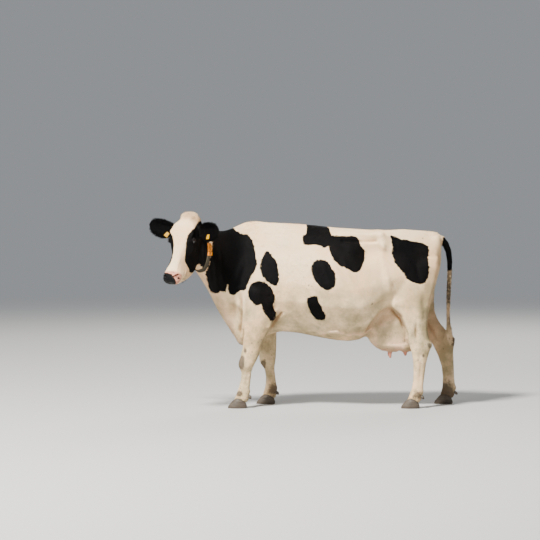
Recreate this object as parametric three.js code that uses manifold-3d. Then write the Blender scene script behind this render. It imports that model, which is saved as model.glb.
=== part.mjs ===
// A life-size Holstein dairy cow that stands still and looks round to its left.
// Millimetres, +Z up, the head towards -X and the cow's right side towards +Y. The floor is z = 0.
//
// Each large form is a loft through closed rings of named sizes. The forms are joined into one body,
// which is then parted with thin cuts into the pieces that a person would name.

import * as THREE from "three";
import { mergeVertices } from "three/addons/utils/BufferGeometryUtils.js";
import Module from "manifold-3d";

const wasm = await Module();
wasm.setup();

const CUT = 0.4; // width of the thin cut between two pieces
const SPINE_Y = 116; // the spine lies this far right of the model's middle, because the head is turned left
const MIDDLE_X = 12; // the model's middle along its length, from the zero of the x sizes below

const LEFT = -1;
const RIGHT = 1;
const v3 = (x, y, z) => new THREE.Vector3(x, y, z);

// ---------------------------------------------------------------- finishes

const finish = (color, roughness) => new THREE.MeshStandardMaterial({ color, roughness, metalness: 0 });
const hide = finish(0xe6d8c6, 0.75);
const blackHide = finish(0x17161a, 0.7);
const udderSkin = finish(0xdcb9a2, 0.6);
const eyeBall = finish(0x120c0a, 0.08);
const horn = finish(0x4a4038, 0.5);
const yellowPlastic = finish(0xe7c02c, 0.45);
const orangePlastic = finish(0xf39a1e, 0.45);
const webbing = finish(0x4b4130, 0.8);

// ---------------------------------------------------------------- shape tools

// A closed surface through rings of points. Every ring lists as many points, in the same order.
function loft(rings, steps) {
  const around = rings[0].length;
  const lines = rings[0].map(
    (_, j) => new THREE.CatmullRomCurve3(rings.map((ring) => ring[j]), false, "centripetal"),
  );
  const points = [];
  for (let i = 0; i <= steps; i++) {
    for (const line of lines) points.push(line.getPoint(i / steps));
  }
  const middleOf = (from) => {
    const middle = v3(0, 0, 0);
    for (let j = 0; j < around; j++) middle.add(points[from + j]);
    return middle.divideScalar(around);
  };
  const last = steps * around;
  points.push(middleOf(0), middleOf(last));
  const faces = [];
  for (let i = 0; i < steps; i++) {
    for (let j = 0; j < around; j++) {
      const a = i * around + j;
      const b = i * around + ((j + 1) % around);
      faces.push(a, b, a + around, b, b + around, a + around);
    }
  }
  for (let j = 0; j < around; j++) {
    const next = (j + 1) % around;
    faces.push(points.length - 2, next, j);
    faces.push(points.length - 1, last + j, last + next);
  }
  const geometry = new THREE.BufferGeometry().setFromPoints(points).setIndex(faces);
  return facingOut(geometry);
}

// Turns the faces of a closed geometry round if it is inside out.
function facingOut(geometry) {
  const at = geometry.getAttribute("position");
  const index = geometry.index.array;
  const [a, b, c] = [v3(), v3(), v3()];
  let volume = 0;
  for (let i = 0; i < index.length; i += 3) {
    a.fromBufferAttribute(at, index[i]);
    b.fromBufferAttribute(at, index[i + 1]);
    c.fromBufferAttribute(at, index[i + 2]);
    volume += a.dot(b.cross(c));
  }
  if (volume < 0) {
    for (let i = 0; i < index.length; i += 3) [index[i], index[i + 1]] = [index[i + 1], index[i]];
  }
  return geometry;
}

// Points of a closed curve through a few corner points, evenly shared among the corners.
function closedRing(corners, count) {
  const curve = new THREE.CatmullRomCurve3(corners, true, "centripetal");
  return Array.from({ length: count }, (_, i) => curve.getPoint(i / count));
}

// A level oval from its front to its back, as a slice through a limb.
function levelOval({ z, front, back, y, half, squareness = 0.85 }, count) {
  const ring = [];
  for (let i = 0; i < count; i++) {
    const turn = (i / count) * 2 * Math.PI;
    const round = (value) => Math.sign(value) * Math.abs(value) ** squareness;
    const along = round(Math.cos(turn)) * 0.5 * (back - front);
    ring.push(v3(0.5 * (front + back) + along, y + round(Math.sin(turn)) * half, z));
  }
  return ring;
}

function ball(radius, wide = 10, high = 6) {
  return new THREE.SphereGeometry(radius, wide, high);
}

// The exact solid of a closed three.js geometry.
function solid(geometry) {
  const plain = geometry.clone();
  plain.deleteAttribute("normal");
  plain.deleteAttribute("uv");
  const merged = mergeVertices(plain, 1e-3);
  return new wasm.Manifold(
    new wasm.Mesh({
      numProp: 3,
      vertProperties: merged.getAttribute("position").array,
      triVerts: new Uint32Array(merged.index.array),
    }),
  );
}

function geometryOf(shape) {
  const mesh = shape.getMesh();
  const positions = new Float32Array(mesh.numVert * 3);
  for (let i = 0; i < mesh.numVert; i++) {
    positions.set(mesh.vertProperties.subarray(i * mesh.numProp, i * mesh.numProp + 3), i * 3);
  }
  const geometry = new THREE.BufferGeometry();
  geometry.setAttribute("position", new THREE.BufferAttribute(positions, 3));
  geometry.setIndex(new THREE.BufferAttribute(mesh.triVerts, 1));
  return geometry;
}

function joined(shapes) {
  return shapes.reduce((sum, shape) => sum.add(shape));
}

// Of several loose bodies, the largest one.
function largest(shape) {
  return shape.decompose().sort((p, q) => q.volume() - p.volume())[0];
}

// A box between two corners in the frame of a matrix, grown by a margin on every side.
function boxRegion(low, high, matrix = new THREE.Matrix4(), margin = 0) {
  const size = high.clone().sub(low).addScalar(2 * margin);
  const middle = high.clone().add(low).multiplyScalar(0.5);
  const box = new THREE.BoxGeometry(size.x, size.y, size.z);
  box.translate(middle.x, middle.y, middle.z).applyMatrix4(matrix);
  return box;
}

// An upright wall-sided block: an outline of [x, z] corners, from one distance off the spine to another.
function prismRegion(outline, low, high, margin = 0) {
  const corners = outline.map(([x, z]) => new THREE.Vector2(x, z));
  if (THREE.ShapeUtils.area(corners) < 0) corners.reverse();
  const grown = corners.map((corner, i) => {
    const before = corner.clone().sub(corners.at(i - 1)).normalize();
    const after = corners[(i + 1) % corners.length].clone().sub(corner).normalize();
    const outward = new THREE.Vector2(before.y + after.y, -before.x - after.x);
    return corner.clone().addScaledVector(outward, margin / (1 + before.dot(after)));
  });
  const depth = high - low + 2 * margin;
  const block = new THREE.ExtrudeGeometry(new THREE.Shape(grown), { depth, bevelEnabled: false });
  return block.rotateX(Math.PI / 2).translate(0, high + margin, 0);
}

// A frame at a point, with its own x and z directions.
function frameAt(origin, xAxis, zAxis) {
  const yAxis = zAxis.clone().cross(xAxis);
  return new THREE.Matrix4().makeBasis(xAxis, yAxis, zAxis).setPosition(origin);
}

// ---------------------------------------------------------------- trunk

// Half sections of the trunk, from the breast to the pin bones, as [distance from the spine, height].
const TRUNK = [
  { x: -548, top: 1150, ridge: [45, 1140], rib: [115, 1050], wide: [140, 880], keel: [80, 610], bottom: 545 },
  { x: -500, top: 1446, ridge: [22, 1420], rib: [118, 1215], wide: [196, 900], keel: [92, 545], bottom: 476 },
  { x: -410, top: 1475, ridge: [26, 1452], rib: [132, 1290], wide: [226, 915], keel: [104, 560], bottom: 488 },
  { x: -300, top: 1467, ridge: [34, 1446], rib: [168, 1270], wide: [248, 915], keel: [122, 630], bottom: 556 },
  { x: -150, top: 1458, ridge: [44, 1438], rib: [214, 1250], wide: [292, 905], keel: [145, 665], bottom: 594 },
  { x: 40, top: 1447, ridge: [60, 1428], rib: [262, 1225], wide: [338, 890], keel: [172, 640], bottom: 562 },
  { x: 230, top: 1423, ridge: [90, 1406], rib: [290, 1205], wide: [362, 870], keel: [192, 592], bottom: 526 },
  { x: 380, top: 1412, ridge: [135, 1394], rib: [282, 1190], wide: [362, 860], keel: [192, 580], bottom: 516 },
  { x: 490, top: 1405, ridge: [176, 1378], rib: [250, 1190], wide: [342, 870], keel: [184, 620], bottom: 545 },
  { x: 560, top: 1401, ridge: [232, 1368], rib: [236, 1200], wide: [316, 890], keel: [166, 680], bottom: 600 },
  { x: 606, top: 1405, ridge: [266, 1362], rib: [240, 1200], wide: [296, 920], keel: [154, 735], bottom: 660 },
  { x: 656, top: 1400, ridge: [240, 1356], rib: [248, 1190], wide: [278, 960], keel: [148, 765], bottom: 695 },
  { x: 760, top: 1411, ridge: [172, 1374], rib: [248, 1185], wide: [256, 985], keel: [130, 780], bottom: 715 },
  { x: 900, top: 1401, ridge: [120, 1362], rib: [226, 1170], wide: [228, 960], keel: [105, 790], bottom: 740 },
  { x: 1010, top: 1394, ridge: [104, 1346], rib: [175, 1210], wide: [170, 1040], keel: [75, 900], bottom: 880 },
  { x: 1068, top: 1376, ridge: [104, 1328], rib: [118, 1262], wide: [105, 1150], keel: [45, 1050], bottom: 1030 },
  { x: 1090, top: 1334, ridge: [84, 1306], rib: [82, 1262], wide: [54, 1200], keel: [24, 1140], bottom: 1130 },
];

function trunkRing(station, count) {
  const half = [station.ridge, station.rib, station.wide, station.keel];
  const right = half.map(([y, z]) => v3(station.x, y, z));
  const left = half.map(([y, z]) => v3(station.x, -y, z)).reverse();
  const top = v3(station.x, 0, station.top);
  const bottom = v3(station.x, 0, station.bottom);
  return closedRing([top, ...right, bottom, ...left], count);
}

function trunkForm() {
  const rings = TRUNK.map((station) => trunkRing(station, 22));
  return solid(loft(rings, 21));
}

// ---------------------------------------------------------------- neck

// The neck lies between a crest line and a throat line, which both bend to the left.
const NECK = [
  { crest: v3(-350, 0, 1440), throat: v3(-400, 0, 600), half: 165 },
  { crest: v3(-438, -2, 1474), throat: v3(-488, 0, 480), half: 190 },
  { crest: v3(-500, -16, 1455), throat: v3(-548, -4, 548), half: 186 },
  { crest: v3(-566, -58, 1424), throat: v3(-604, -22, 655), half: 166 },
  { crest: v3(-640, -120, 1405), throat: v3(-650, -66, 760), half: 144 },
  { crest: v3(-712, -182, 1418), throat: v3(-694, -130, 868), half: 128 },
  { crest: v3(-772, -238, 1444), throat: v3(-750, -200, 968), half: 118 },
  { crest: v3(-822, -284, 1470), throat: v3(-812, -270, 1065), half: 108 },
  { crest: v3(-860, -318, 1470), throat: v3(-878, -330, 1150), half: 88 },
];

function neckRing(index, count) {
  const { crest, throat, half } = NECK[index];
  const middle = crest.clone().add(throat).multiplyScalar(0.5);
  const up = crest.clone().sub(throat).multiplyScalar(0.5);
  const before = NECK[Math.max(index - 1, 0)];
  const after = NECK[Math.min(index + 1, NECK.length - 1)];
  const along = after.crest.clone().add(after.throat).sub(before.crest).sub(before.throat);
  const across = along.cross(up).normalize();
  const ring = [];
  for (let i = 0; i < count; i++) {
    const turn = (i / count) * 2 * Math.PI;
    const width = half * (1 - 0.3 * Math.cos(turn)); // thin at the crest, full at the throat
    ring.push(
      middle
        .clone()
        .addScaledVector(up, Math.cos(turn))
        .addScaledVector(across, width * Math.sin(turn)),
    );
  }
  return ring;
}

function neckForm() {
  return solid(loft(NECK.map((_, index) => neckRing(index, 14)), 14));
}

// ---------------------------------------------------------------- head

// The head's own frame: x runs down the face from the poll, y to the cow's left, z out of the forehead.
const POLL = v3(-902, -326, 1536);
const HEAD_TURN = THREE.MathUtils.degToRad(60); // how far the head is turned left of straight ahead
const HEAD_DROP = THREE.MathUtils.degToRad(59); // how far the face points below level
const ahead = v3(-Math.cos(HEAD_TURN), -Math.sin(HEAD_TURN), 0);
const down = v3(0, 0, -1);
const [steep, level] = [Math.sin(HEAD_DROP), Math.cos(HEAD_DROP)];
const downFace = ahead.clone().multiplyScalar(level).addScaledVector(down, steep);
const outOfFace = ahead.clone().multiplyScalar(steep).addScaledVector(down, -level);
const HEAD_FRAME = frameAt(POLL, downFace, outOfFace);

// Half sections of the head: distance down the face; heights of the face line, cheek line and jaw
// line; and half widths of the brow, of the widest line, of the jaw muscle and of the jaw's lower edge.
const HEAD = [
  { s: -24, face: -22, brow: 26, wide: 30, wideZ: -52, jaw: 26, jawZ: -80, under: 14, floor: -98 },
  { s: -4, face: 10, brow: 46, wide: 56, wideZ: -52, jaw: 56, jawZ: -96, under: 32, floor: -124 },
  { s: 44, face: 30, brow: 63, wide: 77, wideZ: -50, jaw: 82, jawZ: -118, under: 52, floor: -166 },
  { s: 106, face: 40, brow: 87, wide: 107, wideZ: -46, jaw: 98, jawZ: -140, under: 60, floor: -210 },
  { s: 165, face: 40, brow: 100, wide: 118, wideZ: -38, jaw: 104, jawZ: -150, under: 66, floor: -236 },
  { s: 222, face: 31, brow: 90, wide: 122, wideZ: -42, jaw: 107, jawZ: -168, under: 70, floor: -250 },
  { s: 275, face: 17, brow: 66, wide: 102, wideZ: -66, jaw: 101, jawZ: -172, under: 68, floor: -252 },
  { s: 335, face: 9, brow: 48, wide: 74, wideZ: -74, jaw: 84, jawZ: -166, under: 62, floor: -243 },
  { s: 400, face: 6, brow: 38, wide: 57, wideZ: -64, jaw: 68, jawZ: -152, under: 58, floor: -234 },
  { s: 455, face: 6, brow: 40, wide: 60, wideZ: -54, jaw: 63, jawZ: -130, under: 54, floor: -204 },
  { s: 505, face: 9, brow: 48, wide: 74, wideZ: -44, jaw: 67, jawZ: -104, under: 52, floor: -162 },
  { s: 545, face: 5, brow: 54, wide: 80, wideZ: -40, jaw: 67, jawZ: -86, under: 42, floor: -124 },
  { s: 574, face: -8, brow: 48, wide: 68, wideZ: -42, jaw: 52, jawZ: -72, under: 24, floor: -92 },
  { s: 588, face: -26, brow: 28, wide: 38, wideZ: -46, jaw: 30, jawZ: -60, under: 14, floor: -68 },
];

function headRing(row, count) {
  const { s, face, brow, wide, wideZ, jaw, jawZ, under, floor } = row;
  const browZ = face - 0.14 * brow;
  const underZ = floor + 0.3 * under;
  const half = [v3(s, brow, browZ), v3(s, wide, wideZ), v3(s, jaw, jawZ), v3(s, under, underZ)];
  const other = half.map((p) => v3(p.x, -p.y, p.z)).reverse();
  return closedRing([v3(s, 0, face), ...half, v3(s, 0, floor), ...other], count);
}

function headForm() {
  const form = loft(HEAD.map((row) => headRing(row, 18)), 17);
  return solid(form.applyMatrix4(HEAD_FRAME));
}

// The eyes sit in round sockets below the brow.
const EYE = { s: 224, side: 98, depth: -24, radius: 22 };

function eyeCentre(side) {
  return v3(EYE.s, -side * EYE.side, EYE.depth).applyMatrix4(HEAD_FRAME);
}

// ---------------------------------------------------------------- ears

// An ear is a curled leaf. Each row: distance out from its root, half width, half thickness, how
// deep its hollow is, and how far the leaf hangs below the line it points along.
const EAR_ROOT = { s: 118, side: 84, depth: -62 };
const EAR_LEAF = [
  { out: -6, half: 24, thick: 18, hollow: 0, drop: 0 },
  { out: 30, half: 41, thick: 20, hollow: 3, drop: 2 },
  { out: 66, half: 62, thick: 13, hollow: 18, drop: 7 },
  { out: 112, half: 77, thick: 8, hollow: 28, drop: 9 },
  { out: 162, half: 77, thick: 6, hollow: 26, drop: 8 },
  { out: 208, half: 65, thick: 5, hollow: 17, drop: 5 },
  { out: 240, half: 40, thick: 4.5, hollow: 6, drop: 2 },
  { out: 254, half: 8, thick: 3, hollow: 1, drop: 0 },
];

// Which way each ear points, and which way its hollow opens.
const EAR_AIM = {
  [RIGHT]: { out: v3(-0.93, 0.3, 0.2), open: v3(-0.31, -0.95, -0.1) },
  [LEFT]: { out: v3(0.67, -0.74, 0.07), open: v3(-0.74, -0.66, -0.1) },
};

function earRing({ out, half, thick, hollow, drop }, side, count) {
  const ring = [];
  for (let i = 0; i < count; i++) {
    const turn = (i / count) * 2 * Math.PI;
    const across = Math.cos(turn);
    const curl = hollow * (across * across - 0.5); // both edges curl towards the opening
    ring.push(v3(out, across * half + side * drop, curl + Math.sin(turn) * thick));
  }
  return ring;
}

function earForm(side) {
  const root = v3(EAR_ROOT.s, -side * EAR_ROOT.side, EAR_ROOT.depth).applyMatrix4(HEAD_FRAME);
  const out = EAR_AIM[side].out.clone().normalize();
  const open = EAR_AIM[side].open.clone().normalize();
  open.addScaledVector(out, -open.dot(out)).normalize();
  const frame = frameAt(root, out, open);
  const form = loft(EAR_LEAF.map((row) => earRing(row, side, 10)), 8).applyMatrix4(frame);
  return { form: solid(form), frame };
}

// ---------------------------------------------------------------- legs

// Level slices down each leg to the foot: height, front and back edges, distance of the slice's
// middle from the spine, and half width. The left fore leg stands ahead of the right one.
const FORE_LEFT = [
  { z: 1010, front: -490, back: -310, y: 138, half: 58 },
  { z: 920, front: -560, back: -262, y: 158, half: 96 },
  { z: 820, front: -548, back: -246, y: 168, half: 92 },
  { z: 739, front: -500, back: -240, y: 172, half: 84 },
  { z: 690, front: -480, back: -238, y: 173, half: 76 },
  { z: 636, front: -474, back: -256, y: 174, half: 68 },
  { z: 590, front: -477, back: -286, y: 174, half: 61 },
  { z: 540, front: -482, back: -314, y: 173, half: 54 },
  { z: 480, front: -487, back: -337, y: 172, half: 48 },
  { z: 425, front: -499, back: -350, y: 171, half: 47 },
  { z: 372, front: -512, back: -374, y: 170, half: 49 },
  { z: 326, front: -512, back: -398, y: 169, half: 45 },
  { z: 281, front: -495, back: -413, y: 168, half: 36 },
  { z: 225, front: -498, back: -420, y: 167, half: 31 },
  { z: 165, front: -516, back: -427, y: 166, half: 36 },
  { z: 128, front: -528, back: -430, y: 166, half: 41 },
  { z: 96, front: -540, back: -432, y: 166, half: 42 },
  { z: 66, front: -551, back: -438, y: 166, half: 43 },
  { z: 46, front: -538, back: -452, y: 166, half: 36 },
];

const FORE_RIGHT = [
  ...FORE_LEFT.slice(0, 3),
  { z: 739, front: -486, back: -232, y: 172, half: 84 },
  { z: 690, front: -458, back: -226, y: 173, half: 76 },
  { z: 636, front: -434, back: -218, y: 174, half: 68 },
  { z: 590, front: -412, back: -214, y: 174, half: 61 },
  { z: 540, front: -396, back: -212, y: 173, half: 54 },
  { z: 480, front: -380, back: -213, y: 172, half: 48 },
  { z: 425, front: -365, back: -215, y: 171, half: 47 },
  { z: 372, front: -354, back: -218, y: 170, half: 49 },
  { z: 326, front: -342, back: -225, y: 169, half: 45 },
  { z: 275, front: -312, back: -230, y: 168, half: 36 },
  { z: 215, front: -301, back: -223, y: 167, half: 31 },
  { z: 160, front: -304, back: -216, y: 166, half: 36 },
  { z: 128, front: -310, back: -214, y: 166, half: 41 },
  { z: 96, front: -320, back: -212, y: 166, half: 42 },
  { z: 66, front: -328, back: -216, y: 166, half: 43 },
  { z: 46, front: -316, back: -230, y: 166, half: 36 },
];

const HIND_LEFT = [
  { z: 1190, front: 812, back: 1066, y: 140, half: 80 },
  { z: 1110, front: 760, back: 1070, y: 150, half: 110 },
  { z: 1000, front: 718, back: 1050, y: 154, half: 116 },
  { z: 900, front: 688, back: 1024, y: 158, half: 106 },
  { z: 820, front: 676, back: 1002, y: 162, half: 92 },
  { z: 745, front: 752, back: 984, y: 166, half: 78 },
  { z: 690, front: 776, back: 977, y: 170, half: 69 },
  { z: 638, front: 797, back: 977, y: 174, half: 61 },
  { z: 590, front: 808, back: 981, y: 177, half: 54 },
  { z: 548, front: 818, back: 990, y: 179, half: 48 },
  { z: 504, front: 830, back: 1013, y: 180, half: 45 },
  { z: 456, front: 842, back: 996, y: 180, half: 44 },
  { z: 408, front: 852, back: 981, y: 180, half: 41 },
  { z: 356, front: 861, back: 965, y: 180, half: 35 },
  { z: 280, front: 863, back: 955, y: 180, half: 31 },
  { z: 210, front: 860, back: 946, y: 180, half: 32 },
  { z: 160, front: 851, back: 942, y: 180, half: 38 },
  { z: 126, front: 840, back: 938, y: 180, half: 42 },
  { z: 96, front: 829, back: 933, y: 180, half: 43 },
  { z: 66, front: 817, back: 924, y: 180, half: 44 },
  { z: 46, front: 830, back: 910, y: 180, half: 36 },
];

const HIND_RIGHT = [
  { z: 1190, front: 812, back: 1066, y: 140, half: 80 },
  { z: 1110, front: 775, back: 1070, y: 150, half: 110 },
  { z: 1000, front: 750, back: 1060, y: 154, half: 116 },
  { z: 900, front: 736, back: 1052, y: 158, half: 106 },
  { z: 820, front: 745, back: 1050, y: 162, half: 92 },
  { z: 745, front: 820, back: 1056, y: 166, half: 78 },
  { z: 690, front: 858, back: 1076, y: 170, half: 69 },
  { z: 645, front: 892, back: 1102, y: 174, half: 62 },
  { z: 600, front: 932, back: 1142, y: 177, half: 55 },
  { z: 562, front: 966, back: 1184, y: 179, half: 49 },
  { z: 526, front: 998, back: 1221, y: 180, half: 45 },
  { z: 480, front: 1032, back: 1215, y: 180, half: 45 },
  { z: 430, front: 1058, back: 1208, y: 180, half: 43 },
  { z: 375, front: 1084, back: 1208, y: 180, half: 38 },
  { z: 300, front: 1109, back: 1210, y: 180, half: 32 },
  { z: 215, front: 1119, back: 1214, y: 180, half: 32 },
  { z: 160, front: 1118, back: 1219, y: 180, half: 38 },
  { z: 126, front: 1115, back: 1223, y: 180, half: 42 },
  { z: 96, front: 1108, back: 1222, y: 180, half: 43 },
  { z: 66, front: 1100, back: 1212, y: 180, half: 44 },
  { z: 46, front: 1112, back: 1198, y: 180, half: 36 },
];

function legForm(slices, side) {
  const rings = slices.map((slice) => levelOval({ ...slice, y: side * slice.y }, 10));
  return solid(loft(rings, slices.length - 1));
}

// ---------------------------------------------------------------- feet

// Each foot has two claws. A claw: level outlines from the sole to the hair line, as the front and
// back of the foot's own length, with half the claw's width.
const CLEFT = 5; // half the gap between a foot's two claws
const CLAW_POINTS = 8;
const CLAW = [
  { z: 0, front: 0.0, back: 0.99, half: 25 },
  { z: 16, front: 0.03, back: 1.01, half: 27 },
  { z: 36, front: 0.14, back: 0.97, half: 26 },
  { z: 56, front: 0.26, back: 0.88, half: 24 },
  { z: 74, front: 0.4, back: 0.76, half: 16 },
];

function clawRing({ z, front, back, half }, foot, y, inner, margin) {
  const ring = [];
  for (let i = 0; i < CLAW_POINTS; i++) {
    const turn = (i / CLAW_POINTS) * 2 * Math.PI;
    const along = Math.cos(turn);
    const across = Math.sin(turn);
    const x = foot.toe + foot.length * THREE.MathUtils.lerp(front, back, 0.5 + 0.5 * along);
    const taper = along < 0 ? 1 - 0.4 * along * along : 1; // the toe is narrower than the heel
    const flat = across * inner > 0 ? 0.75 : 1; // the side at the cleft is flatter
    const reach = half * taper * flat + margin;
    ring.push(v3(x + along * margin, y + across * reach, z > 0 ? z + margin : z - margin));
  }
  return ring;
}

// The inner side of a claw faces the foot's middle: inner is +1 when that is towards +Y.
function clawForm(foot, side, inner, margin = 0) {
  const y = side * foot.y - inner * (CLEFT + 20);
  return solid(loft(CLAW.map((row) => clawRing(row, foot, y, inner, margin)), 4));
}

// Two small claws hang behind each fetlock.
const DEWCLAW_HEIGHT = 88;
const DEWCLAW = [
  { along: -16, size: 6 },
  { along: 4, size: 14 },
  { along: 20, size: 4 },
];

function dewclawForm(foot, side, inner, margin = 0) {
  const out = v3(0.7, -inner * 0.15, -0.72).normalize();
  const root = v3(foot.fetlock, side * foot.y - inner * 24, DEWCLAW_HEIGHT);
  const frame = frameAt(root, out, v3(0, 1, 0).cross(out));
  const rings = DEWCLAW.map(({ along, size }, i) =>
    Array.from({ length: 6 }, (_, j) => {
      const turn = (j / 6) * 2 * Math.PI;
      const reach = size + margin;
      const end = i === 0 ? -margin : margin;
      return v3(along + end, Math.cos(turn) * reach, Math.sin(turn) * reach * 0.8);
    }),
  );
  return solid(loft(rings, 2).applyMatrix4(frame));
}

const LEGS = [
  {
    name: "fore_left",
    side: LEFT,
    slices: FORE_LEFT,
    foot: { toe: -602, length: 150, y: 166, fetlock: -428 },
  },
  {
    name: "fore_right",
    side: RIGHT,
    slices: FORE_RIGHT,
    foot: { toe: -378, length: 150, y: 166, fetlock: -210 },
  },
  {
    name: "hind_left",
    side: LEFT,
    slices: HIND_LEFT,
    foot: { toe: 766, length: 146, y: 180, fetlock: 934 },
  },
  {
    name: "hind_right",
    side: RIGHT,
    slices: HIND_RIGHT,
    foot: { toe: 1052, length: 146, y: 180, fetlock: 1224 },
  },
];

// ---------------------------------------------------------------- udder

// Level slices of the bag, from inside the belly to its floor.
const UDDER = [
  { z: 800, front: 600, back: 960, y: 0, half: 90 },
  { z: 700, front: 520, back: 975, y: 0, half: 128 },
  { z: 600, front: 478, back: 972, y: 0, half: 158 },
  { z: 530, front: 505, back: 958, y: 0, half: 166 },
  { z: 480, front: 548, back: 935, y: 0, half: 156 },
  { z: 448, front: 600, back: 900, y: 0, half: 124 },
  { z: 434, front: 665, back: 845, y: 0, half: 70 },
];

const TEATS = [
  { name: "teat_fore_left", x: 684, side: LEFT, y: 92, tip: 388 },
  { name: "teat_fore_right", x: 684, side: RIGHT, y: 92, tip: 388 },
  { name: "teat_hind_left", x: 806, side: LEFT, y: 66, tip: 404 },
  { name: "teat_hind_right", x: 806, side: RIGHT, y: 66, tip: 404 },
];
const TEAT = [
  { up: 0, half: 6 },
  { up: 4, half: 10 },
  { up: 14, half: 13 },
  { up: 38, half: 14 },
  { up: 58, half: 19 },
  { up: 76, half: 24 },
];

function udderForm() {
  return solid(loft(UDDER.map((slice) => levelOval(slice, 14)), 7));
}

function teatForm({ x, side, y, tip }) {
  const slice = ({ up, half }) => ({ z: tip + up, front: x - half, back: x + half, y: side * y, half });
  return solid(loft(TEAT.map((row) => levelOval({ ...slice(row), squareness: 1 }, 7)), 4));
}

// ---------------------------------------------------------------- tail

const TAIL = [
  { at: v3(985, 0, 1356), half: 38 },
  { at: v3(1052, 0, 1352), half: 34 },
  { at: v3(1104, 0, 1318), half: 28 },
  { at: v3(1140, 0, 1262), half: 24 },
  { at: v3(1156, 0, 1190), half: 21 },
  { at: v3(1160, 0, 1085), half: 17 },
  { at: v3(1154, -2, 950), half: 14.5 },
  { at: v3(1149, -4, 820), half: 12.5 },
  { at: v3(1149, -5, 720), half: 11.5 },
  { at: v3(1152, -5, 650), half: 12.5 },
  { at: v3(1158, -4, 590), half: 16 },
  { at: v3(1163, -3, 545), half: 12 },
  { at: v3(1166, -2, 524), half: 5 },
];

function tailForm() {
  const rings = TAIL.map(({ at, half }, i) => {
    const before = TAIL[Math.max(i - 1, 0)].at;
    const after = TAIL[Math.min(i + 1, TAIL.length - 1)].at;
    const along = after.clone().sub(before).normalize();
    const across = v3(0, 1, 0);
    const outward = across.clone().cross(along).normalize();
    return Array.from({ length: 7 }, (_, j) => {
      const turn = (j / 7) * 2 * Math.PI;
      return at
        .clone()
        .addScaledVector(across, Math.cos(turn) * half)
        .addScaledVector(outward, Math.sin(turn) * half);
    });
  });
  return solid(loft(rings, 14));
}

// ---------------------------------------------------------------- collar and tags

// The strap lies at one place along the neck on its crest and at another under the throat.
const COLLAR = { crest: 6.75, throat: 7.2, width: 34, inside: -1, outside: 5, points: 18 };

// A ring round the neck where the strap lies, some way off the skin.
function strapLine(off, count) {
  const rings = NECK.map((_, index) => neckRing(index, count));
  const line = rings[0].map((_, i) => {
    const lean = 0.5 - 0.5 * Math.cos((i / count) * 2 * Math.PI);
    const station = THREE.MathUtils.lerp(COLLAR.crest, COLLAR.throat, lean);
    const below = Math.floor(station);
    return rings[below][i].clone().lerp(rings[below + 1][i], station - below);
  });
  const middle = v3(0, 0, 0);
  for (const point of line) middle.addScaledVector(point, 1 / count);
  return line.map((point) => {
    const outward = point.clone().sub(middle);
    return point.addScaledVector(outward, off / outward.length());
  });
}

const neckMiddle = (i) => NECK[i].crest.clone().lerp(NECK[i].throat, 0.5);
const neckAxis = neckMiddle(7).sub(neckMiddle(6)).normalize();

// A flat strap closed into a loop: four corners at each point round the neck.
function collarForm(margin = 0) {
  const { width, inside, outside, points } = COLLAR;
  const inner = strapLine(inside - margin, points);
  const outer = strapLine(outside + margin, points);
  const reach = 0.5 * width + margin;
  const corners = [];
  for (let i = 0; i < points; i++) {
    corners.push(inner[i].clone().addScaledVector(neckAxis, -reach));
    corners.push(outer[i].clone().addScaledVector(neckAxis, -reach));
    corners.push(outer[i].clone().addScaledVector(neckAxis, reach));
    corners.push(inner[i].clone().addScaledVector(neckAxis, reach));
  }
  const faces = [];
  for (let i = 0; i < points; i++) {
    const next = (i + 1) % points;
    for (let j = 0; j < 4; j++) {
      const [a, b] = [4 * i + j, 4 * i + ((j + 1) % 4)];
      const [c, d] = [4 * next + j, 4 * next + ((j + 1) % 4)];
      faces.push(a, b, c, b, d, c);
    }
  }
  return solid(facingOut(new THREE.BufferGeometry().setFromPoints(corners).setIndex(faces)));
}

// Plain plates threaded on the strap, one under another on the left of the neck.
const PLATE = { along: 46, high: 33, thick: 5, off: 3.4 };
const PLATE_HEIGHTS = [1230, 1263, 1296];

function plateForm(height) {
  const count = 360;
  const ring = strapLine(COLLAR.outside + PLATE.off, count);
  const near = ring.filter((point) => point.x > ring[0].x);
  const at = near.sort((p, q) => Math.abs(p.z - height) - Math.abs(q.z - height))[0];
  const i = ring.indexOf(at);
  const up = ring[i + 4].clone().sub(ring[i - 4]);
  up.multiplyScalar(Math.sign(up.z)).normalize();
  const outward = up.clone().cross(neckAxis).normalize();
  const frame = new THREE.Matrix4().makeBasis(outward.clone().cross(up), outward, up).setPosition(at);
  const { along, high, thick } = PLATE;
  return solid(new THREE.BoxGeometry(along, thick, high - 2 * CUT).applyMatrix4(frame));
}

// A tag is a small plate in the hollow of the ear, on a stud that goes through the ear.
const TAG = { wide: 34, high: 38, thick: 2.6, stud: 4.5, studLength: 30 };
const TAG_PLACE = {
  [RIGHT]: { out: 92, across: 46, rise: 14, tilt: 24 },
  [LEFT]: { out: 134, across: -46, rise: 14, tilt: -24 },
};

function tagForm(side, margin = 0) {
  const { out, across, rise, tilt } = TAG_PLACE[side];
  const place = new THREE.Matrix4().makeRotationX(THREE.MathUtils.degToRad(tilt)).setPosition(out, across, rise);
  const grown = 2 * margin;
  const plate = new THREE.BoxGeometry(TAG.wide + grown, TAG.high + grown, TAG.thick + grown);
  const radius = TAG.stud + margin;
  const stud = new THREE.CylinderGeometry(radius, radius, TAG.studLength + grown, 8);
  stud.rotateX(Math.PI / 2).translate(0, 0, -0.5 * TAG.studLength);
  return [plate, stud]
    .map((form) => solid(form.applyMatrix4(place).applyMatrix4(ears[side].frame)))
    .reduce((sum, form) => sum.add(form));
}

// ---------------------------------------------------------------- the cow

const cow = new THREE.Group();
cow.position.set(-MIDDLE_X, SPINE_Y, 0);

function addPiece(name, shape, material) {
  const mesh = new THREE.Mesh(geometryOf(shape), material);
  mesh.name = name;
  cow.add(mesh);
}

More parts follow.
